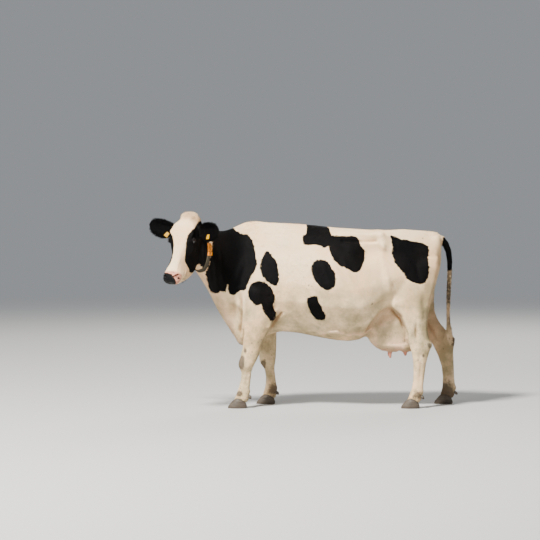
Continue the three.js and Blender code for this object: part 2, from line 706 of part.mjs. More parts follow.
const ears = { [LEFT]: earForm(LEFT), [RIGHT]: earForm(RIGHT) };
let flesh = joined([
  trunkForm(),
  neckForm(),
  headForm(),
  ears[LEFT].form,
  ears[RIGHT].form,
  ...LEGS.map((leg) => legForm(leg.slices, leg.side)),
  udderForm(),
  ...TEATS.map(teatForm),
  tailForm(),
]);

// Hard parts are let into the flesh with a thin gap round them.
function addHardPart(name, formOf, material) {
  addPiece(name, formOf(0), material);
  flesh = flesh.subtract(formOf(CUT));
}

const sideName = { [LEFT]: "left", [RIGHT]: "right" };
for (const side of [LEFT, RIGHT]) {
  const centre = eyeCentre(side);
  const eyeForm = (margin) => solid(ball(EYE.radius + margin).translate(centre.x, centre.y, centre.z));
  addHardPart(`eye_${sideName[side]}`, eyeForm, eyeBall);
  addHardPart(`ear_tag_${sideName[side]}`, (margin) => tagForm(side, margin), yellowPlastic);
}
for (const { name, side, foot } of LEGS) {
  for (const inner of [-side, side]) {
    const which = inner === -side ? "outer" : "inner";
    addHardPart(`claw_${name}_${which}`, (margin) => clawForm(foot, side, inner, margin), horn);
    addHardPart(`dewclaw_${name}_${which}`, (margin) => dewclawForm(foot, side, inner, margin), horn);
  }
}
addHardPart("collar", collarForm, webbing);
PLATE_HEIGHTS.forEach((height, i) => addPiece(`number_plate_${i + 1}`, plateForm(height), orangePlastic));

// The flesh is parted in this order. A region is a function of how much it is grown.
function partOff(name, regionOf, material) {
  addPiece(name, largest(flesh.intersect(regionOf(0))), material);
  flesh = flesh.subtract(regionOf(CUT));
}

for (const side of [LEFT, RIGHT]) {
  const region = (margin) => solid(boxRegion(v3(42, -95, -80), v3(280, 95, 80), ears[side].frame, margin));
  partOff(`ear_${sideName[side]}`, region, blackHide);
}

const NAPE = v3(-452, -571, 1300); // a point on the cut between the head and the neck
const napeAhead = v3(-0.62, -0.785, 0).normalize();
const napeFrame = frameAt(NAPE, napeAhead, v3(0, 0, 1));
const [headLow, headHigh] = [v3(0, -600, -600), v3(600, 600, 400)];
partOff("head", (margin) => solid(boxRegion(headLow, headHigh, napeFrame, margin)), hide);

const NECK_OUTLINE = [[-1100, 1650], [-498, 1650], [-498, 1440], [-566, 640], [-566, 300], [-1100, 300]];
partOff("neck", (margin) => solid(prismRegion(NECK_OUTLINE, -700, 300, margin)), blackHide);

// Each leg is parted from the trunk inside an outline, and again below its knee or hock.
const LEG_CUTS = {
  fore_left: { outline: [[-660, 652], [-232, 652], [-305, 500], [-330, -20], [-660, -20]], joint: 302 },
  fore_right: { outline: [[-520, 652], [-204, 652], [-190, -20], [-520, -20]], joint: 302 },
  hind_left: {
    outline: [
      [1130, 1030], [1130, -20], [700, -20], [838, 400], [830, 470], [808, 549], [790, 638], [746, 742],
      [664, 822],
    ],
    joint: 392,
  },
  hind_right: {
    outline: [
      [1130, 1030], [1260, 560], [1260, -20], [1000, -20], [1050, 430], [1022, 480], [952, 562], [846, 690],
      [806, 742], [736, 822],
    ],
    joint: 392,
  },
};
const FORE_INNER = 108; // how far from the spine a fore leg is parted from the brisket
// The inner side of a thigh, as [distance from the spine, height] at its foot and its top.
const THIGH_INNER = [[130, 560], [45, 932]];

function legRegion({ name, side }, margin) {
  const { outline } = LEG_CUTS[name];
  const reach = (low, high) => (side === RIGHT ? [low, high] : [-high, -low]);
  if (name.startsWith("fore")) return solid(prismRegion(outline, ...reach(FORE_INNER, 320), margin));
  const [foot, top] = THIGH_INNER.map(([y, z]) => v3(0, side * y, z));
  const up = top.clone().sub(foot).normalize();
  const frame = frameAt(foot, v3(1, 0, 0), up);
  const outward = side === RIGHT ? [0, 600] : [-600, 0];
  const thigh = solid(boxRegion(v3(500, outward[0], -700), v3(1400, outward[1], 700), frame, margin));
  const shank = solid(prismRegion(outline, ...reach(THIGH_INNER[0][0], 420), margin));
  return solid(prismRegion(outline, ...reach(30, 420), margin)).intersect(thigh).add(shank);
}

for (const leg of LEGS) {
  const { joint } = LEG_CUTS[leg.name];
  const below = (margin) => solid(boxRegion(v3(-700, -400, -50), v3(1300, 400, joint), undefined, margin));
  const above = legRegion(leg, 0).subtract(below(CUT));
  addPiece(`leg_${leg.name}_lower`, largest(flesh.intersect(legRegion(leg, 0).intersect(below(0)))), hide);
  addPiece(`leg_${leg.name}_upper`, largest(flesh.intersect(above)), hide);
  flesh = flesh.subtract(legRegion(leg, CUT));
}

for (const { name, x, side, y, tip } of TEATS) {
  const low = v3(x - 24, side * y - 24, tip - 20);
  const high = v3(x + 24, side * y + 24, tip + 42);
  const region = (margin) => solid(boxRegion(low, high, undefined, margin));
  partOff(name, region, udderSkin);
}

const UDDER_OUTLINE = [[440, 350], [486, 552], [600, 668], [760, 752], [1010, 850], [1010, 350]];
partOff("udder", (margin) => solid(prismRegion(UDDER_OUTLINE, -300, 300, margin)), udderSkin);

const TAIL_OUTLINE = [[1099, 1420], [1210, 1420], [1240, 655], [1099, 655]];
const TIP_OUTLINE = [[1099, 655 - CUT], [1240, 655 - CUT], [1240, 450], [1099, 450]];
partOff("tail_tip", (margin) => solid(prismRegion(TIP_OUTLINE, -44, 44, margin)), hide);
partOff("tail", (margin) => solid(prismRegion(TAIL_OUTLINE, -44, 44, margin)), blackHide);

addPiece("trunk", largest(flesh), hide);

export default cow;
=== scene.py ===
import math

import bpy
import numpy as np
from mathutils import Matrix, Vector
from mathutils.bvhtree import BVHTree
from mathutils.noise import fractal


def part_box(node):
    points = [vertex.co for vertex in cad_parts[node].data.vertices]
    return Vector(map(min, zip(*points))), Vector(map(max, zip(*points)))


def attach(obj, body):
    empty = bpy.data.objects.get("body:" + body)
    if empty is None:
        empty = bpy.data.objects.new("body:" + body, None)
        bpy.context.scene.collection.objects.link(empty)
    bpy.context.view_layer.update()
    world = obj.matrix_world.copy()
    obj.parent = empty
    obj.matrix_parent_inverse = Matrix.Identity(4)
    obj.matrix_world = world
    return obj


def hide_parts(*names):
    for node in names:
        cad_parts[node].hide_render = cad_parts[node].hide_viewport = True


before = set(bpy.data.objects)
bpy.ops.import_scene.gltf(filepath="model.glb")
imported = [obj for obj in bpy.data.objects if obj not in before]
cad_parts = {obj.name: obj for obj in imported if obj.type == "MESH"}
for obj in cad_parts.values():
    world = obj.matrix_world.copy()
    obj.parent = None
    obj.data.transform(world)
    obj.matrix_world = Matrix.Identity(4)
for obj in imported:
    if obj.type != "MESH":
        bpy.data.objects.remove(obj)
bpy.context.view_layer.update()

rng = np.random.default_rng(41)

# ---- where things are on the cow, in metres

stance = {
    "spineY": 0.116,  # the spine's place across the model
    "poll": (-0.914, -0.210, 1.536),  # the top of the head
    "headTurn": 60.0,  # degrees left of straight ahead
    "headDrop": 59.0,  # degrees that the face points below level
    "nape": (-0.464, -0.455, 1.3),  # a point on the plane between head and neck
    "napeAhead": (-0.6198, -0.7848, 0.0),
    "throatDepth": 0.10,  # from the forehead's plane to the head's long axis
}
spineY = stance["spineY"]
poll = np.array(stance["poll"])
turn, drop = math.radians(stance["headTurn"]), math.radians(stance["headDrop"])
ahead = np.array([-math.cos(turn), -math.sin(turn), 0.0])
upward = np.array([0.0, 0.0, 1.0])
downFace = ahead * math.cos(drop) - upward * math.sin(drop)
outOfFace = ahead * math.sin(drop) + upward * math.cos(drop)
headLeft = np.cross(outOfFace, downFace)
headAxes = np.stack([downFace, headLeft, outOfFace], 1)


def headPlace(points):  # down the face, to the cow's left, out of the forehead
    return (points - poll) @ headAxes


def fromHead(places):
    return np.asarray(places) @ headAxes.T + poll


def blendStep(value, low, high):  # 0 below low, 1 above high, smooth between
    t = np.clip((value - low) / (high - low), 0, 1)
    return t * t * (3 - 2 * t)


def mirrored(points):  # the same place on the cow's left, with the spine at zero
    out = points.copy()
    out[:, 1] = np.abs(points[:, 1] - spineY)
    return out


# ---- small mesh helpers


def choose(*pieces):  # selects these pieces alone, the first one active
    for each in bpy.context.selected_objects:
        each.select_set(False)
    for each in pieces:
        each.select_set(True)
    bpy.context.view_layer.objects.active = pieces[0] if pieces else None


def readRows(items, field, width=1, kind=np.int32):  # one value, or a row of them, from each item
    flat = np.empty(len(items) * width, kind)
    items.foreach_get(field, flat)
    return flat.reshape(-1, width) if width > 1 else flat


def readPoints(mesh):
    return readRows(mesh.vertices, "co", 3, np.float32).astype(float)


def writePoints(mesh, points):
    mesh.vertices.foreach_set("co", points.astype(np.float32).ravel())
    mesh.update()


def readNormals(mesh):
    return readRows(mesh.vertex_normals, "vector", 3, np.float32).astype(float)


def applyModifiers(piece):
    choose(piece)
    for each in list(piece.modifiers):
        bpy.ops.object.modifier_apply(modifier=each.name)


def joinAs(name, pieces):
    choose(*pieces)
    bpy.ops.object.join()
    whole = bpy.context.view_layer.objects.active
    whole.name = name
    whole.data.name = name
    return whole


def meshPiece(name, points, faces):  # faces is an array with as many corners in each row
    mesh = bpy.data.meshes.new(name)
    corners = faces.shape[1]
    mesh.vertices.add(len(points))
    mesh.vertices.foreach_set("co", points.astype(np.float32).ravel())
    mesh.loops.add(faces.size)
    mesh.loops.foreach_set("vertex_index", faces.astype(np.int32).ravel())
    mesh.polygons.add(len(faces))
    mesh.polygons.foreach_set("loop_start", np.arange(len(faces), dtype=np.int32) * corners)
    mesh.update(calc_edges=True)
    piece = bpy.data.objects.new(name, mesh)
    bpy.context.scene.collection.objects.link(piece)
    return piece


def setAttribute(mesh, name, values):
    layer = mesh.attributes.get(name) or mesh.attributes.new(name, "FLOAT", "POINT")
    layer.data.foreach_set("value", values.astype(np.float32))


def neighbourMean(mesh):  # a function that averages a value over each point's neighbours
    ends = readRows(mesh.edges, "vertices", 2)
    both = np.concatenate([ends, ends[:, ::-1]])
    both = both[np.argsort(both[:, 0], kind="stable")]
    count = np.bincount(both[:, 0], minlength=len(mesh.vertices))
    start = np.concatenate([[0], np.cumsum(count)[:-1]])
    near = both[:, 1]

    def mean(values):
        total = np.add.reduceat(values[near], start, axis=0)
        return total / (count[:, None] if values.ndim > 1 else count)

    return mean


# ---- the skin: the pieces of flesh joined, closed over their cuts and smoothed

skinPlan = {
    "voxel": 0.0055,
    "overlap": 0.0016,  # how far each piece swells to close the cuts
    "weld": 0.00002,
    "rounds": 70,  # of smoothing
    "giveBack": 30,  # rounds of smoothing for what is given back to the narrow forms
    "depth": 0.003,  # the coat's depth on the trunk
    "faces": 186000,
    "plainShares": 5,  # steps from the fine skin of the head to the plain skin of the body
}

# How strongly each part is smoothed, and how deep its coat is as a share of the trunk's.
softness = {
    "trunk": (1.0, 1.0), "neck": (1.0, 1.0), "head": (0.08, 0.35), "ear": (0.03, 0.1),
    "upper": (0.3, 0.8), "lower": (0.09, 0.4), "udder": (0.25, 0.4), "teat": (0.02, 0.0),
    "tail": (0.03, 0.3), "tail_tip": (0.02, 0.3), "eye": (0.08, 0.3),
}

hardStarts = ("claw", "dewclaw", "eye", "ear_tag", "collar", "number_plate")
fleshNames = sorted(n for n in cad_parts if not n.startswith(hardStarts))
shellNames = fleshNames + ["eye_left", "eye_right"]


def partKey(name):  # the kind of part that a node is
    for key in ("tail_tip", "tail", "teat", "ear", "upper", "lower", "eye"):
        if key in name:
            return key
    return name


shellKeys = np.array([partKey(name) for name in shellNames])


def joinedShell():
    copies = []
    for name in shellNames:
        copy = bpy.data.objects.new(name + "_copy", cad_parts[name].data.copy())
        bpy.context.scene.collection.objects.link(copy)
        choose(copy)
        bpy.ops.object.mode_set(mode="EDIT")
        bpy.ops.mesh.select_all(action="SELECT")
        bpy.ops.mesh.remove_doubles(threshold=skinPlan["weld"])
        bpy.ops.object.mode_set(mode="OBJECT")
        points = readPoints(copy.data) + readNormals(copy.data) * skinPlan["overlap"]
        writePoints(copy.data, points)
        copies.append(copy)
    shell = joinAs("skin", copies)
    shell.data.materials.clear()
    remesh = shell.modifiers.new("close", "REMESH")
    remesh.mode = "VOXEL"
    remesh.voxel_size = skinPlan["voxel"]
    applyModifiers(shell)
    return shell


def nodeTree(names):  # a search tree over the faces of some nodes, and each face's node
    corners, faces, owner = [], [], []
    for index, name in enumerate(names):
        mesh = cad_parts[name].data
        base = len(corners)
        corners += [v.co.copy() for v in mesh.vertices]
        faces += [[base + i for i in p.vertices] for p in mesh.polygons]
        owner += [index] * len(mesh.polygons)
    return BVHTree.FromPolygons(corners, faces), owner


def nearestPart(points):  # for each point, the index in shellNames of the nearest piece
    tree, owner = nodeTree(shellNames)
    return np.array([owner[tree.find_nearest(p)[2]] for p in points.tolist()])


skin = joinedShell()
print("skin: joined", len(skin.data.vertices), "points")
points = readPoints(skin.data)
part = nearestPart(points)
mean = neighbourMean(skin.data)
strength = np.array([softness[key][0] for key in shellKeys])[part]
furDepth = np.array([softness[key][1] for key in shellKeys])[part]
for _ in range(12):
    strength, furDepth = mean(strength), mean(furDepth)
facetted = points.copy()
for _ in range(skinPlan["rounds"]):
    points += (mean(points) - points) * strength[:, None]
lost = facetted - points  # what smoothing took off the narrow forms is given back, without the facets
for _ in range(skinPlan["giveBack"]):
    lost += (mean(lost) - lost) * strength[:, None]
points += lost
writePoints(skin.data, points)
points -= readNormals(skin.data) * (furDepth * skinPlan["depth"])[:, None]
points -= readNormals(skin.data) * skinPlan["overlap"]
writePoints(skin.data, points)
print("skin: smoothed")


# ---- finer faces on the head


def refine(piece, wanted):  # splits the faces whose corners are all wanted
    choose(piece)
    mesh = piece.data
    mesh.vertices.foreach_set("select", wanted)
    mesh.edges.foreach_set("select", np.zeros(len(mesh.edges), bool))
    corner = readRows(mesh.loops, "vertex_index")
    start = readRows(mesh.polygons, "loop_start")
    chosen = np.add.reduceat((~wanted[corner]).astype(int), start) == 0
    mesh.polygons.foreach_set("select", chosen)
    bpy.ops.object.mode_set(mode="EDIT")
    bpy.ops.mesh.select_mode(type="FACE")
    bpy.ops.mesh.subdivide(number_cuts=1, smoothness=0)
    bpy.ops.object.mode_set(mode="OBJECT")


headPoints = headPlace(points)
onHead = np.isin(shellKeys[part], ("head", "eye"))
eyeSpot = {"down": 0.224, "side": 0.098, "out": -0.024, "radius": 0.022}
eyeCentres = {side: np.array([eyeSpot["down"], side * eyeSpot["side"], eyeSpot["out"]]) for side in (1, -1)}
fineSkin = {"muzzleFrom": 0.44, "muzzleTo": 0.62, "half": 0.12, "deep": -0.26, "roundEye": 0.055}


def nearFace(places):
    close = (places[:, 0] > fineSkin["muzzleFrom"]) & (np.abs(places[:, 1]) < fineSkin["half"])
    close &= places[:, 2] > fineSkin["deep"]
    for centre in eyeCentres.values():
        close |= np.linalg.norm(places - centre, axis=1) < fineSkin["roundEye"]
    return close


def pastNape(points):  # in front of the plane between head and neck
    return (points - np.array(stance["nape"])) @ np.array(stance["napeAhead"])


refine(skin, onHead & nearFace(headPoints) & (headPoints[:, 0] < fineSkin["muzzleTo"]))
points = readPoints(skin.data)
headPoints = headPlace(points)
fine = nearFace(headPoints) & (pastNape(points) > 0)
mouthOrEye = (headPoints[:, 0] > 0.49) | (np.abs(headPoints[:, 1]) > 0.05) & (headPoints[:, 0] < 0.3)
refine(skin, fine & mouthOrEye)
mean = neighbourMean(skin.data)
points = readPoints(skin.data)
for _ in range(3):
    soft = (nearFace(headPlace(points)) * 0.5)[:, None]
    points += (mean(points) - points) * soft
writePoints(skin.data, points)
print("skin: refined", len(points), "points")


# ---- forms under the skin: bones, muscles, veins and folds


def nearLine(places, line):  # distance to a run of points, and the share of its length at the nearest one
    line = np.asarray(line, float)
    lengths = np.linalg.norm(np.diff(line, axis=0), axis=1)
    total, before = lengths.sum(), 0.0
    best = np.full(len(places), 1e9)
    share = np.zeros(len(places))
    for a, b, length in zip(line[:-1], line[1:], lengths):
        t = np.clip((places - a) @ (b - a) / length**2, 0, 1)
        away = np.linalg.norm(places - a - t[:, None] * (b - a), axis=1)
        closer = away < best
        best = np.where(closer, away, best)
        share = np.where(closer, (before + t * length) / total, share)
        before += length
    return best, share


def swell(places, centre, reach, height):  # a soft mound, its height at each place
    away = (places - np.array(centre)) / np.array(reach)
    return height * np.exp(-(away**2).sum(1) * 1.5)


def ridge(places, line, reach, height, taper=0.18):  # a soft ridge along a line, dying away at its ends
    near = np.abs(places - np.mean(line, axis=0)).max(1) < 0.9
    out = np.zeros(len(places))
    away, share = nearLine(places[near], line)
    ends = blendStep(share, -0.02, taper) * blendStep(1 - share, -0.02, taper)
    out[near] = height * np.exp(-((away / reach) ** 2) * 1.5) * ends
    return out


def smoothOutline(corners, share=4):  # a closed curve through the corners
    corners = np.array(corners, float)
    before, after = np.roll(corners, 1, 0), np.roll(corners, -1, 0)
    beyond = np.roll(corners, -2, 0)
    rows = []
    for t in np.arange(share) / share:
        square = 2 * before - 5 * corners + 4 * after - beyond
        cube = 3 * corners - before - 3 * after + beyond
        rows.append(0.5 * (2 * corners + (after - before) * t + square * t**2 + cube * t**3))
    return np.stack(rows, 1).reshape(-1, 2)


def insideBy(flat, corners):  # signed distance to the outline, above zero inside
    outline = smoothOutline(corners)
    away = np.full(len(flat), 1e9)
    inside = np.zeros(len(flat), bool)
    for a, b in zip(outline, np.roll(outline, -1, 0)):
        t = np.clip((flat - a) @ (b - a) / max((b - a) @ (b - a), 1e-12), 0, 1)
        away = np.minimum(away, np.linalg.norm(flat - a - t[:, None] * (b - a), axis=1))
        if a[1] != b[1]:
            crossing = (a[1] > flat[:, 1]) != (b[1] > flat[:, 1])
            inside ^= crossing & (flat[:, 0] < (b[0] - a[0]) * (flat[:, 1] - a[1]) / (b[1] - a[1]) + a[0])
    return np.where(inside, away, -away)


# Each swelling: middle (along, out from the spine, up), reach each way, height. Both sides alike.
bodySwellings = [
    ((0.490, 0.225, 1.235), (0.090, 0.130, 0.085), -0.034),  # hollow of the flank
    ((0.590, 0.236, 1.374), (0.036, 0.036, 0.032), 0.022),  # hook bone
    ((1.040, 0.095, 1.345), (0.040, 0.040, 0.040), 0.016),  # pin bone
    ((0.985, 0.050, 1.395), (0.050, 0.040, 0.040), -0.012),  # hollow beside the tail head
    ((-0.548, 0.150, 0.985), (0.055, 0.080, 0.060), 0.020),  # point of the shoulder
    ((-0.262, 0.200, 0.742), (0.034, 0.060, 0.034), 0.014),  # elbow
    ((0.700, 0.260, 0.830), (0.050, 0.090, 0.055), 0.018),  # stifle
    ((0.800, 0.240, 1.130), (0.110, 0.120, 0.120), 0.012),  # thigh joint
    ((0.360, 0.100, 1.420), (0.260, 0.045, 0.030), -0.006),  # beside the spine
    ((-0.350, 0.250, 1.020), (0.060, 0.100, 0.140), 0.016),  # muscle behind the shoulder
    ((-0.190, 0.270, 1.000), (0.045, 0.110, 0.200), -0.014),  # hollow behind the shoulder
    ((-0.570, 0.130, 0.720), (0.040, 0.080, 0.130), -0.024),  # hollow before the fore leg
    ((0.700, 0.250, 1.330), (0.060, 0.060, 0.050), -0.014),  # hollow behind the hook bone
    ((0.900, 0.230, 0.760), (0.040, 0.090, 0.080), 0.012),  # back of the thigh
]
# Each ridge or groove: a line (along, out, up), reach, height.
bodyRidges = [
    ([(0.602, 0.250, 1.340), (0.606, 0.280, 1.200), (0.632, 0.290, 1.060), (0.690, 0.290, 0.910)], 0.030, 0.021),
    ([(0.566, 0.250, 1.300), (0.568, 0.290, 1.200), (0.590, 0.310, 1.060), (0.640, 0.310, 0.930)], 0.034, -0.022),
    ([(0.860, 0.240, 1.160), (0.900, 0.240, 1.000), (0.915, 0.220, 0.820), (0.930, 0.180, 0.700)], 0.026, -0.012),
    ([(-0.410, 0.090, 1.400), (-0.470, 0.180, 1.220), (-0.545, 0.190, 1.000)], 0.030, 0.012),  # shoulder blade
    ([(-0.335, 0.150, 1.360), (-0.350, 0.230, 1.200), (-0.300, 0.290, 1.000)], 0.040, -0.010),
    ([(-0.420, 0.250, 1.050), (-0.330, 0.270, 0.900), (-0.255, 0.230, 0.780)], 0.032, 0.012),  # upper arm
    ([(-0.640, 0.120, 1.300), (-0.625, 0.150, 1.100), (-0.620, 0.160, 0.900)], 0.018, -0.008),
    ([(0.640, 0.215, 0.800), (0.560, 0.270, 0.722), (0.470, 0.280, 0.640)], 0.020, 0.012),  # flank fold
    ([(0.600, 0.240, 0.850), (0.500, 0.300, 0.770), (0.400, 0.320, 0.720)], 0.030, -0.010),
]
# Creases seen from the side: a line (along, up) on the left, how far the right one lies back for
# each metre below the belly, reach, height.
sideCreases = [
    ([(0.655, 0.795), (0.745, 0.720), (0.790, 0.600), (0.806, 0.470)], 0.60, 0.012, -0.026),  # thigh over udder
    ([(0.680, 0.830), (0.780, 0.740), (0.825, 0.600), (0.835, 0.480)], 0.60, 0.018, 0.009),
    ([(0.450, 0.640), (0.505, 0.705), (0.582, 0.794), (0.655, 0.828)], 0.0, 0.012, 0.011),  # rim over the udder
    ([(-0.520, 0.930), (-0.508, 0.840), (-0.512, 0.700), (-0.525, 0.600), (-0.535, 0.520)], 0.22, 0.016, -0.026),
    ([(-0.480, 0.900), (-0.478, 0.800), (-0.480, 0.700), (-0.485, 0.600)], 0.22, 0.022, 0.010),
    ([(-0.176, 0.770), (-0.236, 0.690), (-0.276, 0.615)], 0.22, 0.011, -0.024),  # fold behind the elbow
    ([(-0.210, 0.810), (-0.262, 0.710), (-0.300, 0.625)], 0.22, 0.016, 0.010),
]
# Courses seen from the side, laid on the skin wherever it is: (along, up), reach, height.
sideCourses = [
    ([(0.250, 1.384), (0.330, 1.372), (0.420, 1.366), (0.500, 1.366), (0.580, 1.372)], 0.022, 0.025),  # loin
    ([(0.270, 1.336), (0.340, 1.331), (0.420, 1.327), (0.500, 1.325), (0.565, 1.325)], 0.019, -0.023),
    ([(0.330, 1.406), (0.430, 1.404), (0.540, 1.405)], 0.014, -0.008),
    ([(-0.300, 0.905), (-0.250, 0.820), (-0.215, 0.740)], 0.026, -0.010),
]
# The milk vein and its knots bulge sideways out of the belly: (along, up).
milkVein = [
    (0.020, 0.576), (0.090, 0.574), (0.140, 0.584), (0.201, 0.604), (0.249, 0.606), (0.282, 0.590), (0.347, 0.576),
    (0.395, 0.584), (0.438, 0.578), (0.478, 0.594), (0.523, 0.622),
]
veinKnots = [
    (0.140, 0.580), (0.205, 0.600), (0.248, 0.606), (0.345, 0.574), (0.394, 0.582), (0.436, 0.574), (0.524, 0.622),
    (0.322, 0.546),
]
veinForm = {"reach": 0.017, "height": 0.016, "knot": (0.027, 0.040, 0.019), "knotHeight": 0.017}
ribs = {
    "first": -0.16, "last": 0.36, "count": 7, "lean": 0.17, "top": 1.25, "middle": 1.05, "bottom": 0.86,
    "out": (0.26, 0.35), "reach": 0.024, "height": 0.0045,
}

places = mirrored(points)
normals = readNormals(skin.data)
raised = np.zeros(len(points))
for middle, reach, height in bodySwellings:
    raised += swell(places, middle, reach, height)
for line, reach, height in bodyRidges:
    raised += ridge(places, line, reach, height)
leftSkin = np.nonzero((places[:, 1] > 0.03) & (points[:, 1] < spineY) & (normals[:, 1] < -0.1))[0]


def laidOnSkin(course):  # the course with the skin's own distance out from the spine
    out = []
    for x, z in course:
        near = np.argsort(np.hypot(places[leftSkin, 0] - x, places[leftSkin, 2] - z))[:12]
        out.append((x, places[leftSkin[near], 1].max(), z))
    return out


for course, reach, height in sideCourses:
    raised += ridge(places, laidOnSkin(course), reach, height, 0.1)
bulge = ridge(places, laidOnSkin(milkVein), veinForm["reach"], veinForm["height"], 0.1)
for knot in laidOnSkin(veinKnots):
    bulge += swell(places, knot, veinForm["knot"], veinForm["knotHeight"])
onSide = (places[:, 1] > 0.10) & (np.abs(normals[:, 1]) > 0.15)
bellyLevel = 0.80
for line, back, reach, height in sideCreases:
    for side in (1, -1):
        lean = 0 if side == 1 else back
        course = [(x + lean * max(bellyLevel - z, 0), 0, z) for x, z in line]
        here = np.nonzero(onSide & ((points[:, 1] < spineY) == (side == 1)))[0]
        raised[here] += ridge(points[here] * np.array([1, 0, 1]), course, reach, height)
for start in np.linspace(ribs["first"], ribs["last"], ribs["count"]):
    line = [
        (start, ribs["out"][0], ribs["top"]), (start + 0.4 * ribs["lean"], ribs["out"][1], ribs["middle"]),
        (start + ribs["lean"], ribs["out"][1], ribs["bottom"]),
    ]
    raised += ridge(places, line, ribs["reach"], ribs["height"], 0.3)

# The udder's four quarters, and the veins over it: a line, reach, height.
cleft = {"deep": 0.020, "wide": 0.022, "from": 0.44, "to": 1.0, "half": 0.19}
udderRidges = [
    ([(0.752, 0.02, 0.420), (0.748, 0.09, 0.440), (0.770, 0.16, 0.520)], 0.018, -0.013),  # fore and hind quarters part
    ([(0.560, 0.17, 0.640), (0.600, 0.17, 0.560), (0.640, 0.16, 0.500)], 0.009, 0.005),
    ([(0.700, 0.17, 0.680), (0.690, 0.17, 0.600), (0.720, 0.16, 0.520)], 0.008, 0.004),
]
onUdder = blendStep(-places[:, 2], -0.74, -0.60) * (points[:, 0] > cleft["from"]) * (points[:, 0] < cleft["to"])
onUdder *= places[:, 1] < cleft["half"]
across = np.exp(-((places[:, 1] / cleft["wide"]) ** 2))
raised -= onUdder * cleft["deep"] * across * blendStep(-places[:, 2], -0.62, -0.48)
for line, reach, height in udderRidges:
    raised += ridge(places, line, reach, height)

# The udder lies deeper than the fold of the flank and the thigh over it.
udderWindow = {
    "outline": [
        (0.462, 0.590), (0.514, 0.689), (0.590, 0.774), (0.659, 0.808), (0.708, 0.786), (0.748, 0.715),
        (0.780, 0.620), (0.800, 0.500), (0.700, 0.440), (0.520, 0.480),
    ],
    "out": 0.132,
    "edge": 0.016,
}
beside = (points[:, 0] > 0.44) & (points[:, 0] < 0.83) & (points[:, 2] > 0.50) & (points[:, 2] < 0.84)
beside = np.nonzero(beside)[0]
inWindow = blendStep(insideBy(points[beside][:, [0, 2]], udderWindow["outline"]), 0.0, udderWindow["edge"])
tooFar = np.maximum(places[beside, 1] - udderWindow["out"], 0) * inWindow
sideShift = bulge * np.sign(points[:, 1] - spineY)
sideShift[beside] -= tooFar * np.sign(points[beside, 1] - spineY)

# Folds of skin where the neck is bent.
neckFolds = {"along": [-0.800, -0.765, -0.722, -0.672], "height": 0.005, "reach": 0.012}
flat = points * np.array([1, 0, 1])
for index, along in enumerate(neckFolds["along"]):
    lowest = 0.99 - 0.03 * index
    line = [(along - 0.01, 0, 1.36), (along, 0, 1.22), (along + 0.012, 0, 1.08), (along + 0.03, 0, lowest)]
    fold = ridge(flat, line, neckFolds["reach"], neckFolds["height"], 0.25)
    raised += fold * (points[:, 1] < 0.06) * (points[:, 0] < -0.55)

# Legs: each form's level, its share of the leg's depth from front to back, reach up and along, and height.
legForms = {
    "fore": [
        (0.345, 0.05, 0.035, 0.030, 0.007), (0.335, 0.55, 0.030, 0.030, 0.006), (0.215, 0.62, 0.060, 0.010, -0.008),
        (0.130, 0.95, 0.022, 0.025, 0.006), (0.560, 0.45, 0.060, 0.022, -0.007), (0.100, 0.5, 0.02, 0.03, -0.004),
        (0.300, 0.80, 0.030, 0.014, -0.006), (0.480, 0.20, 0.050, 0.016, -0.005),
    ],
    "hind": [
        (0.475, 0.45, 0.035, 0.030, 0.008), (0.500, 0.95, 0.030, 0.025, 0.006), (0.580, 0.70, 0.050, 0.012, -0.018),
        (0.640, 0.72, 0.050, 0.014, -0.014), (0.280, 0.60, 0.090, 0.010, -0.009), (0.430, 0.80, 0.030, 0.016, -0.007),
        (0.130, 0.95, 0.022, 0.025, 0.007), (0.660, 0.25, 0.080, 0.030, 0.008), (0.400, 0.30, 0.040, 0.014, -0.005),
    ],
}
legs = ("fore_left", "fore_right", "hind_left", "hind_right")
legSlices = {"tall": 0.01, "count": 81, "top": 0.72}
for leg in legs:
    low, high = (np.array(c) for c in zip(*[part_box(f"leg_{leg}_{half}") for half in ("lower", "upper")]))
    inside = (points[:, 2] < legSlices["top"]) & (points[:, 1] > low[:, 1].min() - 0.01)
    inside &= (points[:, 1] < high[:, 1].max() + 0.01) & (points[:, 0] > low[:, 0].min() - 0.01)
    inside &= points[:, 0] < high[:, 0].max() + 0.02
    here = np.nonzero(inside)[0]
    level = points[here, 2]
    piece = np.clip((level / legSlices["tall"]).astype(int), 0, legSlices["count"] - 1)
    front, back = np.full(legSlices["count"], 1e9), np.full(legSlices["count"], -1e9)
    np.minimum.at(front, piece, points[here, 0])
    np.maximum.at(back, piece, points[here, 0])
    depth = back[piece] - front[piece]
    along = (points[here, 0] - front[piece]) / np.maximum(depth, 0.01)
    for height, share, tall, wide, lift in legForms[leg.split("_")[0]]:
        near = np.exp(-(((level - height) / tall) ** 2) - (((along - share) * depth / wide) ** 2))
        raised[here] += lift * near

points += normals * raised[:, None]
points[:, 1] += sideShift

writePoints(skin.data, points)
points += (mean(points) - points) * 0.4
writePoints(skin.data, points)
print("skin: body forms")


# ---- the head: brows, eyelids, nostrils and mouth, in the head's own frame

